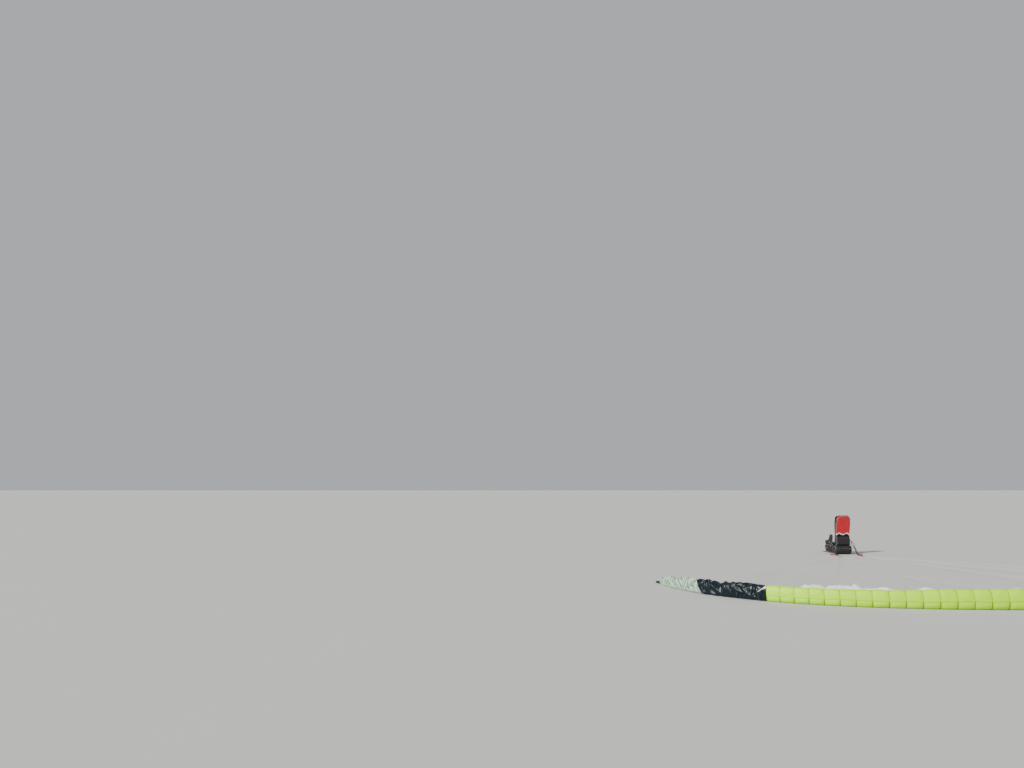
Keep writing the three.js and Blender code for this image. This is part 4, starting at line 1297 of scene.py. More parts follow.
def pressed_down(where):
    """Cloth rises to each line's tab, and sinks under the lines that pass over it."""
    flat = where.reshape(-1, 3)
    rows = [(side, *row) for _, side in SIDES for row in ROWS]
    for side, _, share, over, _, _, groups in rows:
        for top, _, _ in sum(row_fixings(side, share, over, groups), []):
            away = np.hypot(*(flat[:, :2] - np.array(top.xy)).T)
            peak = top.z - TAB_BARE - TAB_SLOPE * np.maximum(away - TAB_LEVEL, 0)
            raised = (flat[:, 2] > LOWER_FLOOR - 0.0001) & (flat[:, 2] < peak)
            flat[raised, 2] = peak[raised]
    for side, _, share, over, layer, link, groups in rows:
        _, knot = link_knot(side, layer, link)
        for ends in row_fixings(side, share, over, groups):
            fork = knot.lerp(middle_of([end[0] for end in ends]), CASCADE)
            for top, _, _ in ends:
                way = fork - top
                from_top = flat[:, :2] - np.array(top.xy)
                along = (from_top @ np.array(way.xy)) / way.xy.length_squared
                reach = np.clip(along, 0, 1)
                near = np.hypot(*(from_top - reach[:, None] * np.array(way.xy)).T)
                side_rise = GROOVE_SLOPE * np.maximum(near - GROOVE_LEVEL, 0)
                line = top.z + reach * way.z - LINE_CLEAR + side_rise
                over_line = (near < GROOVE_HALF) & (along > 0.004) & (flat[:, 2] > line)
                flat[over_line, 2] = np.maximum(line, LOWER_FLOOR)[over_line]
    return where


class PARAGLIDER_OT_lines(bpy.types.Operator):
    """Add the three rows of lines and the brake lines of each side"""

    bl_idname = "paraglider.lines"
    bl_label = "Lines"

    def execute(self, context):
        for word, side in SIDES:
            for row in ROWS:
                self.row(word, side, *row)
            self.brakes(word, side)
        return {"FINISHED"}

    def built(self, name, lower, upper, sleeves, tabs, sheath, node):
        thick = sizes()
        parts = [
            rods(lower, thick.line / 2),
            rods(upper, thick.upper_line / 2),
            rods(sleeves, thick.line / 2 + 0.0004),
        ]
        finish_piece(joined(parts), name, sheath, replaces=(node,))
        tape = joined([tab(*t) for t in tabs])
        thicken(tape, 0.0012)
        finish_piece(tape, name + "_tabs", "tape")

    def row(self, word, side, key, share, over, layer, link, groups):
        bar, knot = link_knot(side, layer, link)
        front = bar + Vector((0, -LINK_BAR - 0.0012, 0))
        lower, upper, sleeves, tabs = [], [], [], []
        fixings = row_fixings(side, share, over, groups)
        for start, ends in zip(beside(knot, bar, len(groups), side), fixings):
            fork = start.lerp(middle_of([e[0] for e in ends]), CASCADE)
            lower.append([start, fork])
            sleeves += [sleeve(start, fork), sleeve(fork, start), [front, start]]
            for spot, (top, foot, s) in zip(beside(fork, start, len(ends), side), ends):
                upper.append([fork, spot + (top - fork) * 0.002, top])
                sleeves += [sleeve(fork, top, 0.025), sleeve(top, fork, 0.03)]
                tabs.append((top, foot, s))
        sleeves.append(arc(bar, BACKWARD, UP, LINK_BAR + 0.001, 0, 360, 13))
        tail = key + "_" + word
        self.built("line_row_" + tail, lower, upper, sleeves, tabs, "line_sheath", "lines_" + tail)

    def brakes(self, word, side):
        x = side * (SHEAVE[0] + 0.0094)
        low = Vector((x, LINK_Y, BRAKE_LAYER))
        z = SHEAVE[2]
        route = [(x, SHEAVE[1] - 0.016), (x, SHEAVE[1] + 0.01), (side * HANDLE[0], HANDLE[1] - 0.0003)]
        route = [low] + [Vector((*spot, z)) for spot in route]
        ends = [fixing(side, c, float(depth(rib(c))) - BRAKE_FROM_EDGE, -1) for c in BRAKE_RIBS]
        fork = low.lerp(middle_of([e[0] for e in ends]), CASCADE * 0.8)
        upper, sleeves, tabs = [], [sleeve(fork, low), sleeve(route[3], route[2])], []
        for spot, pair in zip(beside(fork, low, 2, side), (ends[:2], ends[2:])):
            end = fork.lerp(middle_of([e[0] for e in pair]), 0.45)
            upper.append([fork, spot, end])
            sleeves += [sleeve(fork, end, 0.025), sleeve(end, fork, 0.025)]
            for top, foot, s in pair:
                upper.append([end, top])
                sleeves.append(sleeve(top, end, 0.03))
                tabs.append((top, foot, s))
        name, node = "brake_line_" + word, "brake_lines_" + word
        self.built(name, [[fork, *route]], upper, sleeves, tabs, "brake_line_sheath", node)


# Quick links, risers, carabiners
class PARAGLIDER_OT_quick_links(bpy.types.Operator):
    """Add the steel quick links that join the lines to the risers"""

    bl_idname = "paraglider.quick_links"
    bl_label = "Quick links"

    def execute(self, context):
        for word, side in SIDES:
            for key, _, _, _, link, _ in ROWS:
                x = side * (LINK_X + link * LINK_PITCH)
                path = []
                for cy, start in ((LINK_LONG - LINK_HALF, 0), (LINK_HALF, 180)):
                    centre = (x, LINK_Y + cy, LINK_Z)
                    path += arc(centre, ACROSS, BACKWARD, LINK_HALF, start, start + 180, 10)
                ring = rods([path], LINK_BAR, 12, closed=True)
                edge = x + side * LINK_HALF
                middle = LINK_Y + LINK_LONG / 2

                def turned_bar(y0, y1, radius, sides, bevel):
                    return cylinder((edge, y0, LINK_Z), (edge, y1, LINK_Z), radius, sides, bevel)

                barrel = turned_bar(middle - 0.0062, middle + 0.0062, 0.0034, 6, 0.0004)
                turns = np.arange(middle + 0.0068, middle + 0.0105, 0.0013)
                thread = [turned_bar(y, y + 0.0007, 0.0024, 16, 0.0002) for y in turns]
                node = "quick_link_" + key + "_" + word
                finish_piece(joined([ring, barrel, *thread]), node + "_ring", "steel", replaces=(node,))
        return {"FINISHED"}


class PARAGLIDER_OT_risers(bpy.types.Operator):
    """Add the risers with their sewn ends and the pulley's cheeks"""

    bl_idname = "paraglider.risers"
    bl_label = "Risers"

    def execute(self, context):
        for word, side in SIDES:
            def strap(path, wide, thick):
                parts.append(side_band(side, path, wide, thick))

            def along(far):
                return CARABINER_FOOT - far * UPWARD

            parts = []
            for link in (-1, 0, 1):
                x = LINK_X + link * LINK_PITCH
                rear = Vector((x, LINK_Y + LINK_LONG, LINK_Z))
                strap(arc(rear, BACKWARD, UP, 0.0042, 40, 320, 15), RISER_WIDE * 0.62, 0.0014)
                start = rear + Vector((0, 0.003, 0))
                bend = Vector((x, RISER_FOOT.y, LINK_Z))
                end = Vector((x, *along(SEWN).yz))
                route = [
                    start,
                    start.lerp(bend, 0.35),
                    start.lerp(bend, 0.7),
                    bend.lerp(start, 0.12),
                    bend.lerp(end, 0.1) + Vector((0, 0, -0.001)),
                    bend.lerp(end, 0.5),
                    end,
                ]
                strap(eased([sided(side, p) for p in route], 6), RISER_WIDE, RISER_THICK)
                # Doubled and stitched where the loops are sewn.
                strap([start, start.lerp(bend, 0.14)], RISER_WIDE * 0.9, RISER_THICK + 0.0018)
                strap([end.lerp(bend, 0.16), end], RISER_WIDE * 0.96, RISER_THICK + 0.0016)
            strap([along(SEWN + 0.009), along(SEWN - 0.009)], 0.042, RISER_THICK + 0.0014)
            strap([along(SEWN), along(0.0085)], LOOP_WIDE, RISER_THICK + 0.001)
            # The webbing round the carabiner's bar
            loop = arc(CARABINER_FOOT, UPWARD, STRAP_OUT, CARABINER_BAR + 0.0014, -150, 150, 21)
            strap(loop, LOOP_WIDE, 0.0018)
            self.pulley(word, side)
            node = "riser_" + word
            finish_piece(joined(parts), "riser_webbing_" + word, "riser_webbing", replaces=(node,))
        return {"FINISHED"}

    def pulley(self, word, side):
        x, y, _ = SHEAVE
        edge = LINK_X + LINK_PITCH + RISER_WIDE / 2
        walls = ((0.001, 0.0026), (0.0077, 0.0093))
        cheeks = [(x + 0.006, edge - 0.003, *wall, 0.0006) for wall in walls]
        cheeks.append((edge + 0.002, edge - 0.003, 0.001, 0.0093, 0.0005))
        parts = []
        for near, far, z0, z1, bevel in cheeks:
            low, high = sorted((side * near, side * far))
            parts.append(block((low, y - 0.0065, z0), (high, y + 0.0065, z1), bevel, 2))
        parts.append(cylinder((side * x, y, 0.0004), (side * x, y, 0.0101), 0.0019, 16, 0.0003))
        finish_piece(joined(parts), "brake_pulley_" + word, "anodised")


class PARAGLIDER_OT_sheaves(bpy.types.Operator):
    """Add the grooved wheels of the brake pulleys"""

    bl_idname = "paraglider.sheaves"
    bl_label = "Sheaves"

    def execute(self, context):
        for word, side in SIDES:
            x, y, _ = SHEAVE
            spots = [turned(side * x, y, SHEAVE_PROFILE, 36)]
            for px, py, _ in arc((side * x, y, 0), ACROSS, BACKWARD, 0.0047, 0, 360, 6)[:-1]:
                spots.append(cylinder((px, py, 0.00315), (px, py, 0.00685), 0.0009, 12, 0.0002))
            wheel = joined(spots)
            body = "sheave_" + word
            finish_piece(wheel, "sheave_wheel_" + word, "black_plastic", body, ("brake_" + body,))
        return {"FINISHED"}


def turned(x, y, profile, steps):
    """A ring turned about a vertical line, from a closed profile of radius and height."""
    obj = added(bpy.ops.mesh.primitive_circle_add, vertices=len(profile))
    for vertex, (r, z) in zip(obj.data.vertices, profile):
        vertex.co = (r, 0, z)
    edited(obj, lambda: bpy.ops.mesh.spin(steps=steps, angle=2 * math.pi, center=(0, 0, 0), axis=UP))
    recalculate(obj)
    obj.data.transform(Matrix.Translation((x, y, 0)))
    return smooth(obj, 40)


class PARAGLIDER_OT_brake_handles(bpy.types.Operator):
    """Add the brake handles, loops of stiff webbing that stand on edge"""

    bl_idname = "paraglider.brake_handles"
    bl_label = "Brake handles"

    def execute(self, context):
        for word, side in SIDES:
            x, y, z = HANDLE
            w, top, r = HANDLE_WIDE / 2 - 0.00225, HANDLE_LONG - 0.0045, HANDLE_CORNER
            path = []
            corners = ((w - r, top - r, 0), (r - w, top - r, 90), (r - w, r, 180), (w - r, r, 270))
            for cx, cy, start in corners:
                centre = (side * x + cx, y + 0.00255 + cy, z + 0.01)
                path += arc(centre, ACROSS, BACKWARD, r, start, start + 90, 10)
            path.append(path[0])
            loop = band(path, HANDLE_DEEP, HANDLE_WALL, side=UP, columns=7, crown=-0.0008)
            finish_piece(loop, "brake_loop_" + word, "red_webbing", replaces=("brake_handle_" + word,))
            knot = rods([[(side * x, y - 0.004, 0.005), (side * x, y + 0.012, 0.008)]], 0.0016, 8)
            ends = ((side * x, y + 0.0005, 0.0085), (side * x, y + 0.0075, 0.0085))
            swivel = cylinder(*ends, 0.0042, 20, 0.0008)
            finish_piece(joined([knot, swivel]), "brake_swivel_" + word, "steel")
        return {"FINISHED"}


def turned_frame(middle, across, along):
    """The frame with its origin at middle, its x way across and its y way along."""
    ways = Matrix((across, along, across.cross(along))).transposed()
    return Matrix.Translation(middle) @ ways.to_4x4()


def carabiner_frame(side):
    """The plane of a carabiner: x across it, y up the strap, its origin in the middle."""
    # The gate is on the side towards the harness.
    frame = turned_frame(sided(side, CARABINER_MIDDLE), Vector(ACROSS), UPWARD)
    return frame @ Matrix.Scale(-side, 4, ACROSS)


class PARAGLIDER_OT_carabiners(bpy.types.Operator):
    """Add the main carabiners and their sprung gates"""

    bl_idname = "paraglider.carabiners"
    bl_label = "Carabiners"

    def execute(self, context):
        for word, side in SIDES:
            frame = carabiner_frame(side)
            a, b, r = CARABINER_HALF, CARABINER_END, CARABINER_CORNER
            path = [(a, -GATE_END, 0), (a, -GATE_END - 0.003, 0)]
            x, y = a - r, b - r
            for cx, cy, start in ((x, -y, 0), (-x, -y, -90), (-x, y, -180), (x, y, -270)):
                path += arc((cx, cy, 0), ACROSS, BACKWARD, r, start, start - 90, 10)
            path += [(a, GATE_END + 0.003, 0), (a, GATE_END, 0)]
            bow = rods([path], CARABINER_BAR, 16)
            # Flattened a little, as a forged bar is.
            move_points(bow, coordinates(bow.data) * (1, 1, FORGED_FLAT))

            def round_bar(y0, y1, radius, sides, bevel):
                return cylinder((a, y0, 0), (a, y1, 0), radius, sides, bevel)

            body = joined([bow, round_bar(GATE_END - 0.0002, GATE_END + 0.006, 0.0062, 20, 0.001)])
            parts = [round_bar(0.004 - GATE_END, GATE_END - 0.0006, GATE_BAR, 24, 0.0014)]
            # A ball round the hinge pin, which turns clear of the bar's end
            ball = {"segments": 20, "ring_count": 12, "radius": 0.0031}
            pin = added(bpy.ops.mesh.primitive_uv_sphere_add, location=(a, 0.0034 - GATE_END, 0), **ball)
            parts.append(smooth(pin))
            parts.append(round_bar(-0.0135, 0.0125, GATE_BAR + 0.0016, 24, 0.0006))
            for y in np.arange(-0.011, 0.0105, 0.0024):
                parts.append(round_bar(y, y + 0.0011, GATE_BAR + 0.002, 24, 0.0003))
            pin = (a - 0.0005, 0.0035 - GATE_END)
            parts.append(cylinder((*pin, -0.0052), (*pin, 0.0052), 0.0011, 12, 0.0002))
            moving = joined(parts)
            for piece in (body, moving):
                piece.data.transform(frame)
                if side > 0:
                    recalculate(piece)
            finish_piece(body, "carabiner_body_" + word, "anodised", replaces=("carabiner_" + word,))
            gate = "gate_" + word
            finish_piece(moving, gate + "_sleeve", "gate_anodised", gate, ("carabiner_" + gate,))
        return {"FINISHED"}


class PARAGLIDER_OT_hanging_straps(bpy.types.Operator):
    """Add the straps that carry the carabiners on the harness"""

    bl_idname = "paraglider.hanging_straps"
    bl_label = "Hanging straps"

    def execute(self, context):
        for word, side in SIDES:
            top = Vector((SIDE_X + SIDE_THICK + LOOP_WIDE / 2 + 0.0003, SEAT_BACK + 0.096, ANCHOR.z + 0.02))
            clear = CARABINER_TOP + 0.044 * UPWARD
            route = [CARABINER_TOP + 0.0075 * UPWARD, clear, clear.lerp(top, 0.6), top]
            sewn = [CARABINER_TOP + 0.008 * UPWARD, CARABINER_TOP + 0.04 * UPWARD]
            ring = arc(CARABINER_TOP, UPWARD, STRAP_OUT, 0.0073, 30, 330, 21)
            parts = [band(eased([sided(side, p) for p in route], 6), LOOP_WIDE, 0.0034)]
            parts.append(side_band(side, sewn, LOOP_WIDE * 0.97, 0.0058))
            parts.append(side_band(side, ring, LOOP_WIDE, 0.0026))
            node = "hanging_strap_" + word
            finish_piece(joined(parts), "main_strap_" + word, "riser_webbing", replaces=(node,))
        return {"FINISHED"}


# Harness
def off_back(co):
    """How far up along the leaning back a point is, and how far out towards the wing."""
    y, z = co[:, 1] - SEAT_BACK, co[:, 2] - PROTECTOR_TOP - 0.0003
    up = -y * math.sin(BACK_LEAN) + z * math.cos(BACK_LEAN)
    out = -y * math.cos(BACK_LEAN) - z * math.sin(BACK_LEAN)
    return up, out


def puffed(obj, cap, voxel, hold):
    """Fills a stuffed piece by cloth simulation, so that no point goes further than cap."""
    modified(obj, "REMESH", mode="VOXEL", voxel_size=voxel)
    modified(obj, "SMOOTH", iterations=4)
    start = coordinates(obj.data)
    cloth = obj.modifiers.new("cloth", "CLOTH")
    cloth.settings.use_pressure = True
    cloth.settings.uniform_pressure_force = CLOTH_PRESSURE
    cloth.settings.effector_weights.gravity = 0
    cloth.settings.quality = 4
    cloth.point_cache.frame_start = 1
    cloth.point_cache.frame_end = CLOTH_FRAMES
    for number in range(1, CLOTH_FRAMES + 1):
        bpy.context.scene.frame_set(number)
    filled = obj.evaluated_get(bpy.context.evaluated_depsgraph_get())
    moved = coordinates(filled.data) - start
    obj.modifiers.remove(cloth)
    bpy.context.scene.frame_set(1)
    far = np.maximum(np.linalg.norm(moved, axis=1, keepdims=True), 1e-9)
    move_points(obj, start + moved * np.minimum(1, cap / far))
    move_points(obj, hold(coordinates(obj.data)))
    return smooth(obj, 60)


def drawn_in(obj, deep, hold=None):
    """Seams, sewn channels and creases: each point goes in by deep(point)."""
    co = coordinates(obj.data)
    normal = np.empty(co.size)
    obj.data.vertices.foreach_get("normal", normal)
    co = co - normal.reshape(-1, 3) * deep(co)[:, None]
    move_points(obj, hold(co) if hold else co)


def stuffed(form, cuts, puff, hold, deep, name, finish, node, fill, body=BASE):
    """A stuffed piece: filled by simulation, with puff as its cap and voxel size, and then drawn in."""
    piece = puffed(form.mesh(cuts), *puff, hold)
    drawn_in(piece, deep, hold)
    finish_piece(piece, name, finish, body, (node,))
    return piece


def pack_creases(co, size, seed):
    """Creases of worn cloth over a stuffed piece, from -0.4 to 0.6."""
    u = (co[:, 0] + 0.37 * co[:, 2] + 9) / size
    v = (co[:, 1] - 0.41 * co[:, 0] + 0.8 * co[:, 2] + 9) / size
    return creases(u, v, seed) - 0.4


def laid_on(obj, points, out=0.0, closed=False):
    """The points at the nearest places on a finished piece, that far out of it, and evened along."""
    faces = [tuple(p.vertices) for p in obj.data.polygons]
    tree = BVHTree.FromPolygons([v.co for v in obj.data.vertices], faces)
    found = [tree.find_nearest(Vector(p)) for p in points]
    moved = np.array([list(where + normal * out) for where, normal, _, _ in found])
    for _ in range(3):
        if closed:
            moved = moved / 2 + (np.roll(moved, 1, axis=0) + np.roll(moved, -1, axis=0)) / 4
        else:
            moved[1:-1] = moved[1:-1] / 2 + (moved[:-2] + moved[2:]) / 4
    return moved


def edge_ring(axis, level, count, reach):
    """Shares of a form's sides along the edge of one face."""
    turn = np.linspace(0, 2 * math.pi, count + 1)[:-1]
    a, b = np.cos(turn), np.sin(turn)
    square = 0.35 * np.hypot(a, b) + 0.65 * np.maximum(np.abs(a), np.abs(b))
    pair = [reach * a / square, reach * b / square]
    pair.insert(axis, np.full(count, float(level)))
    return np.clip(np.stack(pair, axis=1), -1, 1)


def edge_piping(piece, form, name, axis, levels, count, reach, out, radius, hold, body=BASE):
    """Piping round a stuffed piece, at each level of one axis."""
    rings = [laid_on(piece, form.at(edge_ring(axis, level, count, reach)), out, True) for level in levels]
    cords = [rods([hold(ring)], radius, 8, closed=True) for ring in rings]
    finish_piece(joined(cords), name, "grey_piping", body)


def buckle(name, middle, along, wide, long, thick, body=BASE):
    """A moulded buckle: a frame with a bar, and the tongue that clips into it."""
    x, low, high = wide / 2 - 0.003, -long / 2 + 0.004, long * 0.12
    ring = np.array([(x, low, 0), (x, high, 0), (-x, high, 0), (-x, low, 0)])
    path = [a + (b - a) * t for a, b in zip(ring, np.roll(ring, -1, axis=0)) for t in (0.08, 0.5, 0.92)]
    parts = [rods([path], thick * 0.3, 12, closed=True)]
    parts.append(rods([[(-x, -long * 0.2, 0), (x, -long * 0.2, 0)]], thick * 0.24, 8))
    # The tongue's middle and its two prongs: half width, middle, foot, top, half thickness and rounding
    prongs = [(0.07, side * 0.4, -0.05, 0.3, 0.25, 0.16) for side in (-1, 1)]
    for half, at, foot, top, deep, edge in [(0.34, 0, 0.02, 0.38, 0.34, 0.2), *prongs]:
        low = (wide * (at - half), long * foot, -thick * deep)
        high = (wide * (at + half), long * top, thick * deep)
        parts.append(block(low, high, thick * edge, 3))
    places = ((-0.36, 0.3), (-0.36, 0.45), (0.36, 0.45), (0.36, 0.3))
    corners = [(wide * x, long * y, 0) for x, y in places]
    for start, end in ((1, 2), (0, 1), (3, 2)):
        parts.append(rods([[corners[start], corners[end]]], thick * 0.26, 8))
    obj = joined(parts)
    obj.data.transform(turned_frame(Vector(middle), Vector(ACROSS), Vector(along)))
    return finish_piece(obj, name, "black_plastic", body)


def padded_band(path, wide, thick, around=20, steps=6):
    """A stuffed strap, lens-shaped across, closed at its ends."""
    points = eased(path, steps)
    step = np.gradient(points, axis=0)
    side = np.array((1.0, 0, 0))
    up = np.cross(side, step)
    up /= np.linalg.norm(up, axis=1, keepdims=True)
    t = np.linspace(-1, 1, len(points))
    full = (1 - np.abs(t) ** 14) ** 0.5
    a = np.linspace(0, 2 * math.pi, around + 1)
    x = np.sign(np.cos(a)) * np.abs(np.cos(a)) ** 0.75 * wide / 2
    z = np.sign(np.sin(a)) * np.abs(np.sin(a)) ** 0.85 * thick / 2
    x[-1], z[-1] = x[0], z[0]
    where = points[:, None, :] + side * (full[:, None] * x)[:, :, None]
    where = where + up[:, None, :] * (full[:, None] * z)[:, :, None]
    return smooth(recalculate(cloth_grid(where, np.cos(a), run_length(points)[:, None])), 60)


class PARAGLIDER_OT_protector(bpy.types.Operator):
    """Add the bag with the foam protector, which the rest of the harness stands on"""

    bl_idname = "paraglider.protector"
    bl_label = "Protector"

    def execute(self, context):
        low, high = node_box("protector")
        half, middle = (high - low) / 2, (high + low) / 2

        def bucket(p, share):
            under = smooth_step(-share[:, 2], -0.1, 1)
            p = p.copy()
            p[:, 0] *= 1 - 0.07 * under
            p[:, 1] *= 1 - 0.06 * under
            return p + middle

        def hold(co):
            return np.clip(co, low + 0.0005, high - (0.0005, 0.0005, 0.0008))

        def deep(co):
            low_seam = 0.005 * hill(co[:, 2], 0.062, 0.005)
            cross = 0.004 * hill(co[:, 1], middle[1] + 0.05, 0.005) * (co[:, 2] < 0.185)
            return low_seam + cross - 0.003 * pack_creases(co, 0.06, 71) + 0.0015

        form = Pad(half - (0.003, 0.003, 0.002), 0.042, (0.004, 0.004, 0.0), bucket)
        look = ("protector_bag", "black_pack_cloth", "protector", 0.75)
        bag = stuffed(form, 30, (0.008, 0.008), hold, deep, *look)
        piping = sizes().piping / 2 * 0.8
        edge_piping(bag, form, "protector_piping", 0, (-0.96, 0.96), 96, 0.985, 0.0008, piping, hold)
        # A zip across the rear face: a tape, and a row of teeth that stands out of its middle
        across = np.linspace(-0.13, 0.13, 60)
        rear = float(low[1])

        def zip_row(up, out, reach=1.0):
            return laid_on(bag, [(x * reach, rear, up) for x in across], out)

        width = np.linspace(-1, 1, 5)
        rows = [zip_row(ZIP_HIGH + 0.008 * share, 0.0012) for share in width]
        tape = walled(cloth_grid(np.array(rows), width[:, None], across), 0.0012, 50)
        teeth = rods([zip_row(ZIP_HIGH, 0.0016, 0.97)], 0.0017, 10)
        y = float(laid_on(bag, [(0.12, rear, up) for up in (0.109, ZIP_HIGH)], 0.003)[:, 1].min())
        puller = block((0.117, y - 0.0024, 0.108), (0.123, y, 0.13), 0.001, 3)
        finish_piece(tape, "protector_zip", "riser_webbing")
        finish_piece(teeth, "protector_zip_teeth", "black_plastic")
        finish_piece(puller, "protector_zip_puller", "steel")
        return {"FINISHED"}


class PARAGLIDER_OT_back(bpy.types.Operator):
    """Add the harness's padded back with its red panel and piping"""

    bl_idname = "paraglider.back"
    bl_label = "Back"

    def half_width(self, up, half, top, radius):
        over = np.clip(up - (top - radius), 0, radius)
        return np.where(up < top - radius, half, 0.064 + np.sqrt(radius**2 - over**2 + 1e-12))

    def execute(self, context):
        self.pad()
        self.red_panel()
        return {"FINISHED"}

    def pad(self):
        half_up = BACK_HIGH / 2 - 0.002

        def leaning(p, share):
            up = p[:, 2] + half_up + 0.001
            width = self.half_width(up, BACK_HALF - 0.003, BACK_HIGH, 0.09)
            return on_back(p[:, 0] * width / BACK_HALF, up, p[:, 1] + BACK_THICK / 2)

        def hold(co):
            up, out = off_back(co)
            x, up = np.clip(co[:, 0], -BACK_HALF, BACK_HALF), np.clip(up, -0.02, BACK_HIGH)
            co = on_back(x, up, np.clip(out, -0.0005, BACK_THICK - 0.0005))
            co[:, 2] = np.maximum(co[:, 2], PROTECTOR_TOP + 0.0004)
            return co

        def deep(co):
            up, out = off_back(co)
            x = np.abs(co[:, 0])
            channels = sum(hill(up, channel, 0.006) for channel in BACK_CHANNELS)
            upright = hill(x, 0, 0.005) + hill(x, 0.095, 0.004)
            sewn = np.maximum(np.clip(channels, 0, 1) * (x < 0.095), 0.7 * upright)
            front = np.where(out < 0.4 * BACK_THICK, 0.006 * sewn, 0)
            return front - 0.0018 * pack_creases(co, 0.05, 81) + 0.001

        form = Pad((BACK_HALF, BACK_THICK / 2 - 0.004, half_up), 0.0175, (0.0, 0.004, 0.0), leaning)
        pad = stuffed(form, 34, (0.006, 0.0065), hold, deep, "back_pad", "black_mesh", "back", 0.6)
        piping = sizes().piping / 2 * 0.7
        edge_piping(pad, form, "back_piping", 1, (-0.93, 0.93), 120, 0.99, 0.0006, piping, hold)

    def red_panel(self):
        foot, dip, top, half = 0.248, 0.034, BACK_HIGH - 0.008, 0.148
        inner, thick = BACK_THICK + 0.0003, 0.024

        def leaning(p, share):
            x = p[:, 0]
            # The lower edge is curved like a gull's wings.
            edge = foot - dip + 0.006 + 0.034 * hill(np.abs(x), 0.078, 0.042)
            up = edge + (top - edge) * (share[:, 2] + 1) / 2
            width = self.half_width(up, half, top, 0.084)
            return on_back(x * width / half, up, p[:, 1] + inner + thick / 2)

        def hold(co):
            up, out = off_back(co)
            x, up = np.clip(co[:, 0], -half, half), np.clip(up, foot - dip, top)
            return on_back(x, up, np.clip(out, inner, inner + thick))

        def deep(co):
            return 0.0008 - 0.0028 * pack_creases(co, 0.075, 91)

        form = Pad((half - 0.001, thick / 2 - 0.003, 0.2), 0.0085, (0.0, 0.003, 0.0), leaning)
        look = ("red_back_panel", "red_pack_cloth", "back_panel", 0.5)
        panel = stuffed(form, 30, (0.005, 0.0055), hold, deep, *look)
        # A broad white binding along the lower edge, and round it
        across = np.linspace(-0.995, 0.995, 70)
        rows = []
        for out, up in ((1, -0.84), (1, -0.9), (1, -0.95), (0.96, -0.99), (0.7, -1), (0.1, -1)):
            row = form.at(np.stack(np.broadcast_arrays(across, out, up), axis=1))
            rows.append(laid_on(panel, row, 0.0012))
        binding = walled(cloth_grid(np.array(rows), across, np.linspace(-1, 1, 6)[:, None]), 0.0022, 50)
        finish_piece(binding, "red_panel_binding", "white_piping")
        ring = form.at(edge_ring(1, 0.93, 96, 0.985))
        upper = ring[off_back(ring)[0] > foot + 0.004]
        order = np.argsort(np.arctan2(-upper[:, 0], upper[:, 2] - 0.5))
        upper = hold(laid_on(panel, upper[order], 0.0008))
        finish_piece(rods([upper], sizes().piping / 2 * 0.7, 8), "shoulder_piping", "grey_piping")


class PARAGLIDER_OT_reserve(bpy.types.Operator):
    """Add the reserve parachute's container on the back, and its red handle"""

    bl_idname = "paraglider.reserve"
    bl_label = "Reserve"

    def execute(self, context):
        low, high = node_box("reserve_container")
        inner_foot = SEAT_BACK - BACK_THICK / math.cos(BACK_LEAN) - 0.0008
        tall = high[2] - low[2]

        def back_face(z):
            return inner_foot - math.tan(BACK_LEAN) * (z - low[2])

        def wedge(p, share):
            z = low[2] + tall * (share[:, 2] + 1) / 2
            inner = back_face(z)
            closing = smooth_step(z, high[2] - 0.07, high[2])
            outer = (SEAT_BACK - 0.136) * (1 - closing) + (inner - 0.036) * closing
            y = inner + (outer - inner) * (p[:, 1] / half[1] + 1) / 2
            z = low[2] + 0.001 + (tall - 0.002) * (p[:, 2] / half[2] + 1) / 2
            return np.stack([p[:, 0], y, z], axis=1)

        def hold(co):
            co = np.clip(co, low + 0.0003, high - 0.0003)
            co[:, 1] = np.minimum(co[:, 1], back_face(co[:, 2]))
            return co

        def deep(co):
            x = np.abs(co[:, 0])
            flap = hill(co[:, 2], low[2] + 0.07 + 0.35 * x, 0.004) * (x < 0.14)
            sewn = 0.004 * flap + 0.003 * hill(x, 0.128, 0.003)
            return sewn + 0.001 - 0.003 * pack_creases(co, 0.05, 101)

        half = (0.147, 0.045, 0.092)
        form = Pad(half, 0.017, (0.002, 0.0, 0.0), wedge)
        look = ("reserve_bag", "black_pack_cloth", "reserve_container", 0.7)
        bag = stuffed(form, 26, (0.006, 0.0065), hold, deep, *look)
        piping = sizes().piping / 2 * 0.7
        edge_piping(bag, form, "reserve_piping", 0, (-0.95, 0.95), 80, 0.985, 0.0006, piping, hold)
        self.handle()
        return {"FINISHED"}

    def handle(self):
        low, high = node_box("reserve_handle")
        x, y, z = low[0], *(low + high)[1:] / 2
        bow = ((0.002, -0.047), (0.018, -0.043), (0.028, -0.024), (0.0298, 0))
        bow += tuple((out, -back) for out, back in bow[-2::-1])
        path = [(x + out, y + back, z) for out, back in bow]
        grip = band(eased(path, 7), 0.023, 0.005, side=UP, columns=9, crown=0.0008)
        finish_piece(grip, "reserve_grip", "red_webbing", replaces=("reserve_handle",))
        feet = []
        for end in (y - 0.047, y + 0.047):
            foot = ((x - 0.0005, end - 0.011, z - 0.015), (x + 0.002, end + 0.011, z + 0.015))
            feet.append(block(*foot, 0.0009, 2))
        finish_piece(joined(feet), "reserve_grip_feet", "black_pack_cloth")


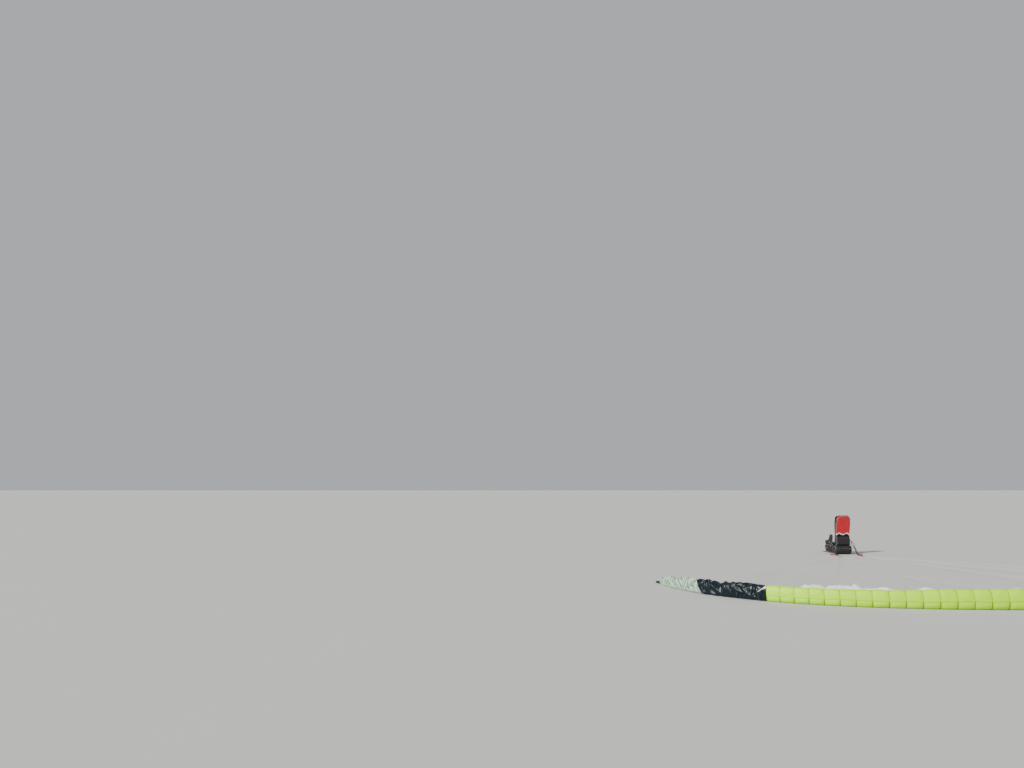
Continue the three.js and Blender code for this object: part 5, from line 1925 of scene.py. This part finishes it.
class PARAGLIDER_OT_seat(bpy.types.Operator):
    """Add the seat, which folds up, with its leg straps"""

    bl_idname = "paraglider.seat"
    bl_label = "Seat"

    def execute(self, context):
        low, high = node_box("seat")
        half, middle = (high - low) / 2, (high + low) / 2

        def hold(co):
            return np.clip(co, low + 0.0004, high - 0.0002)

        def rounded(p, share):
            corner = (np.abs(share[:, 0]) * np.abs(share[:, 1])) ** 6
            p = p.copy()
            p[:, :2] *= 1 - 0.045 * corner[:, None]
            return p + middle

        def deep(co):
            x = np.abs(co[:, 0])
            across = sum(hill(co[:, 1], middle[1] + at, 0.005) for at in (-0.1, 0.0, 0.1))
            sewn = np.maximum(np.clip(across, 0, 1) * (x < 0.118), hill(x, 0.118, 0.005))
            top = smooth_step(co[:, 2], middle[2], high[2])
            return 0.005 * top * sewn + 0.0006 - 0.0015 * pack_creases(co, 0.05, 111)

        form = Pad(half - (0.002, 0.002, 0.0018), 0.0105, (0.0, 0.0, 0.0016), rounded)
        look = ("seat_pad", "black_pack_cloth", "seat", 0.6, "seat")
        pad = stuffed(form, 28, (0.004, 0.0055), hold, deep, *look)
        edge_piping(pad, form, "seat_piping", 2, (0.9,), 120, 0.99, 0.0004, SEAT_PIPING, hold, "seat")
        for word, side in SIDES:
            x = side * LEG_STRAP_X
            y0, y1, z = SEAT_BACK + 0.076, SEAT_BACK + 0.336, float(high[2]) + 0.0035
            path = [(x, y0 + 0.002, z), (x, y0 + 0.09, z + 0.0005), (x, y0 + 0.17, z + 0.0005)]
            strap = padded_band([*path, (x, y1 - 0.02, z + 0.001)], *LEG_PAD)
            drawn_in(strap, lambda co: 0.0012 * hill(np.abs(co[:, 0] - x), 0.013, 0.0012))
            node = "leg_strap_" + word
            finish_piece(strap, "leg_strap_pad_" + word, "black_pack_cloth", "seat", (node,))
            path = [(x, y1 - 0.07, z + 0.0036), (x, y1 - 0.03, z + 0.0042), (x, y1 - 0.016, z + 0.0046)]
            finish_piece(band(path, *LEG_WEB), "leg_strap_tape_" + word, "riser_webbing", "seat")
            middle_of_buckle = (x, y1 - 0.002, z + 0.0047)
            buckle("leg_buckle_" + word, middle_of_buckle, BACKWARD, *LEG_BUCKLE, "seat")
        return {"FINISHED"}


class PARAGLIDER_OT_side_panels(bpy.types.Operator):
    """Add the harness's cloth sides with their compression straps"""

    bl_idname = "paraglider.side_panels"
    bl_label = "Side panels"

    def execute(self, context):
        base = PROTECTOR_TOP + 0.0006
        outline = np.array(SIDE_OUTLINE)
        run = run_length(outline)
        u = np.linspace(0, 1, 56)
        v = np.linspace(0, 1, 26)[:, None]
        top_y, top_z = (np.interp(u * run[-1], run, outline[:, k]) for k in (0, 1))
        y = (0.013 + 0.355 * u) * (1 - v) + top_y * v
        # The foot reaches down onto the protector's round shoulder.
        z = top_z * v - 0.008 * (1 - v) ** 5
        for word, side in SIDES:
            fold = creases(y / 0.09 + 3, z / 0.07 + y / 0.11, 121 + side) - 0.42
            still = smooth_step(v, 0, 0.15) * (1 - smooth_step(v, 0.9, 1.0)) * hill(z, 0.09, 0.075)
            x = side * (SIDE_X + SIDE_THICK / 2 + 0.004 * fold * still)
            panel = cloth_grid(np.stack([x + 0 * y, SEAT_BACK + y, base + z], axis=-1), y, z)
            thicken(panel, SIDE_THICK - 0.001)
            recalculate(panel)
            round_edges(panel, 0.0016, 2)
            smooth(panel, 50)
            name = "side_panel_" + word
            finish_piece(panel, name + "_cloth", "black_pack_cloth", replaces=(name,))
            x = side * (SIDE_X + SIDE_THICK / 2)
            edge = [(x, SEAT_BACK + float(a), base + float(b) - 0.0005) for a, b in eased(outline, 5)]
            finish_piece(rods([edge], SIDE_PIPING, 8), name + "_piping", "grey_piping")
            x = side * (SIDE_X + SIDE_THICK + 0.0012)
            for k, (y0, z0, y1, z1) in enumerate(((0.03, 0.02, 0.26, 0.066), (0.03, 0.075, 0.15, 0.12))):
                shares = np.linspace(0, 1, 6)
                path = [(x, SEAT_BACK + y0 + (y1 - y0) * t, base + z0 + (z1 - z0) * t) for t in shares]
                strap = band(path, *SIDE_WEB, side=UP)
                finish_piece(strap, f"side_strap_{word}_{k + 1}", "riser_webbing")
            # The clip stands out of the strap by as much on both sides.
            inner = x - (0.002 if side > 0 else 0.0035)
            low = (inner, SEAT_BACK + 0.118, base + 0.032)
            clip = block(low, (inner + 0.0055, SEAT_BACK + 0.15, base + 0.058), 0.0018, 3)
            finish_piece(clip, "side_clip_" + word, "white_plastic")
        return {"FINISHED"}


class PARAGLIDER_OT_shoulder_straps(bpy.types.Operator):
    """Add the padded shoulder straps, with the chest strap's two halves"""

    bl_idname = "paraglider.shoulder_straps"
    bl_label = "Shoulder straps"

    def execute(self, context):
        for word, side in SIDES:
            x = side * SHOULDER_X

            def at(places):
                return [on_back(x, BACK_HIGH - 0.04 + up, -out) for up, out in places]

            def deep(co):
                seams = hill(np.abs(co[:, 0] - x), 0.0165, 0.0012)
                return 0.0018 * seams - 0.0008 * pack_creases(co, 0.03, 131)

            strap = padded_band(at(SHOULDER_ROUTE), *SHOULDER_PAD)
            drawn_in(strap, deep)
            name = "shoulder_strap_" + word
            finish_piece(strap, name + "_pad", "black_mesh", replaces=(name,))
            tape = band(eased(at(SHOULDER_TAPE), 4), *SHOULDER_WEB)
            finish_piece(tape, name + "_tape", "riser_webbing")
            lines = []
            for edge in (-0.0222, 0.0222):
                path = [p + np.array((edge, 0, 0)) for p in at(SHOULDER_ROUTE[1:-1])]
                lines.append(rods([eased(path, 6)], 0.0016, 8))
            finish_piece(joined(lines), name + "_piping", "grey_piping")
            name = "chest_strap_" + word
            strap = band(eased(at(CHEST_ROUTE), 5), *CHEST_WEB)
            finish_piece(strap, name + "_tape", "riser_webbing", replaces=(name,))
            end = Vector(at([(-0.33, 0.106)])[0]) + Vector((0, 0.001, -0.021))
            buckle("chest_buckle_" + word, end, UP, *CHEST_BUCKLE)
        return {"FINISHED"}


class PARAGLIDER_OT_speed_bar(bpy.types.Operator):
    """Add the speed bar on the ground in front of the harness, with its cords"""

    bl_idname = "paraglider.speed_bar"
    bl_label = "Speed bar"

    def execute(self, context):
        y, z, end = SPEED_BAR_Y, SPEED_BAR_Z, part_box("speed_bar")[1][0]
        tube = cylinder((-end + 0.0004, y, z), (end - 0.0004, y, z), BAR_TUBE, 24, 0.0008)
        caps, grips, cords, rings = [], [], [], []
        for s in (-1, 1):
            caps.append(cylinder((s * end, y, z), (s * (end - 0.011), y, z), BAR_CAP, 24, 0.0012))
            a, b = sorted((s * 0.028, s * 0.15))
            grips.append(cylinder((a, y, z), (b, y, z), BAR_GRIP, 28, 0.0015))
            x = s * (end - 0.0062)
            spots = ((y, z), (SEAT_BACK + 0.36, 0.06), (SEAT_BACK + 0.25, 0.12))
            foot, turn, top = (Vector((x, *spot)) for spot in spots)
            loop = arc(foot, BACKWARD, UP, 0.0072, 0, 360, 17)
            cords += [[foot, turn], [turn, top], loop, sleeve(foot, turn, 0.03)]
            for at in (turn, top):
                ring = arc(at, BACKWARD, UP, 0.005, 0, 360, 17)[:-1]
                rings.append(rods([ring], 0.0012, 8, closed=True))
                px = s * 0.1845
                rings.append(cylinder((px, at.y, at.z), (px + s * 0.0014, at.y, at.z), 0.0075, 20, 0.0004))
        finish_piece(tube, "speed_bar_tube", "anodised", replaces=("speed_bar",))
        finish_piece(joined(caps), "speed_bar_caps", "black_plastic")
        finish_piece(joined(grips), "speed_bar_grips", "foam_grip")
        finish_piece(rods(cords, BAR_CORD), "speed_bar_cords", "line_sheath")
        finish_piece(joined(rings), "speed_bar_rings", "steel")
        return {"FINISHED"}


class PARAGLIDER_OT_stage(bpy.types.Operator):
    """Add the camera, floor and lights"""

    bl_idname = "paraglider.stage"
    bl_label = "Stage"

    def execute(self, context):
        bpy.ops.object.camera_add()
        camera = context.object
        camera.name = "camera"
        context.scene.camera = camera
        camera.data.sensor_width = 36.0
        camera.data.lens = LENS
        camera.data.clip_end = 200.0
        camera.location = (CAMERA_SIDE, NOSE_Y - CAMERA_AWAY, CAMERA_HIGH)
        camera.rotation_euler = (math.pi / 2 + CAMERA_PITCH, 0, 0)

        floor = added(bpy.ops.mesh.primitive_plane_add, size=2 * FLOOR_HALF)
        floor.name = "floor"
        floor.data.materials.append(floor_paint("floor_paint", tuple(colours().floor)))

        world = bpy.data.worlds.new("studio")
        context.scene.world = world
        world.use_nodes = True
        background = world.node_tree.nodes["Background"]
        background.inputs["Color"].default_value = (0.86, 0.9, 0.95, 1)
        background.inputs["Strength"].default_value = 0.55

        bpy.ops.object.light_add(type="SUN", rotation=SUN_TURN)
        sun = context.object.data
        sun.energy = 5.0
        sun.angle = math.radians(4)
        sun.color = (1.0, 0.97, 0.9)
        return {"FINISHED"}


class PARAGLIDER_PT_panel(bpy.types.Panel):
    """Lists the paraglider's steps"""

    bl_label = "Paraglider"
    bl_idname = "PARAGLIDER_PT_panel"
    bl_space_type = "VIEW_3D"
    bl_region_type = "UI"
    bl_category = "Paraglider"

    def draw(self, context):
        for group in (context.scene.paraglider_colours, context.scene.paraglider_sizes):
            for key in group.__annotations__:
                self.layout.prop(group, key)
        for operator in OPERATORS:
            self.layout.operator(operator.bl_idname)


OPERATORS = (
    PARAGLIDER_OT_stage,
    PARAGLIDER_OT_upper_skin,
    PARAGLIDER_OT_lower_skin,
    PARAGLIDER_OT_lines,
    PARAGLIDER_OT_quick_links,
    PARAGLIDER_OT_risers,
    PARAGLIDER_OT_sheaves,
    PARAGLIDER_OT_brake_handles,
    PARAGLIDER_OT_carabiners,
    PARAGLIDER_OT_hanging_straps,
    PARAGLIDER_OT_protector,
    PARAGLIDER_OT_back,
    PARAGLIDER_OT_reserve,
    PARAGLIDER_OT_seat,
    PARAGLIDER_OT_side_panels,
    PARAGLIDER_OT_shoulder_straps,
    PARAGLIDER_OT_speed_bar,
)
CLASSES = (PARAGLIDER_PG_colours, PARAGLIDER_PG_sizes, *OPERATORS, PARAGLIDER_PT_panel)


def register():
    for cls in CLASSES:
        bpy.utils.register_class(cls)
    bpy.types.Scene.paraglider_colours = PointerProperty(type=PARAGLIDER_PG_colours)
    bpy.types.Scene.paraglider_sizes = PointerProperty(type=PARAGLIDER_PG_sizes)


def unregister():
    del bpy.types.Scene.paraglider_sizes
    del bpy.types.Scene.paraglider_colours
    for cls in reversed(CLASSES):
        bpy.utils.unregister_class(cls)


def main():
    register()
    for operator in OPERATORS:
        step = operator.bl_idname.partition(".")[2]
        if getattr(bpy.ops.paraglider, step)() != {"FINISHED"}:
            raise RuntimeError("paraglider." + step + " did not finish")


if __name__ == "__main__":
    main()
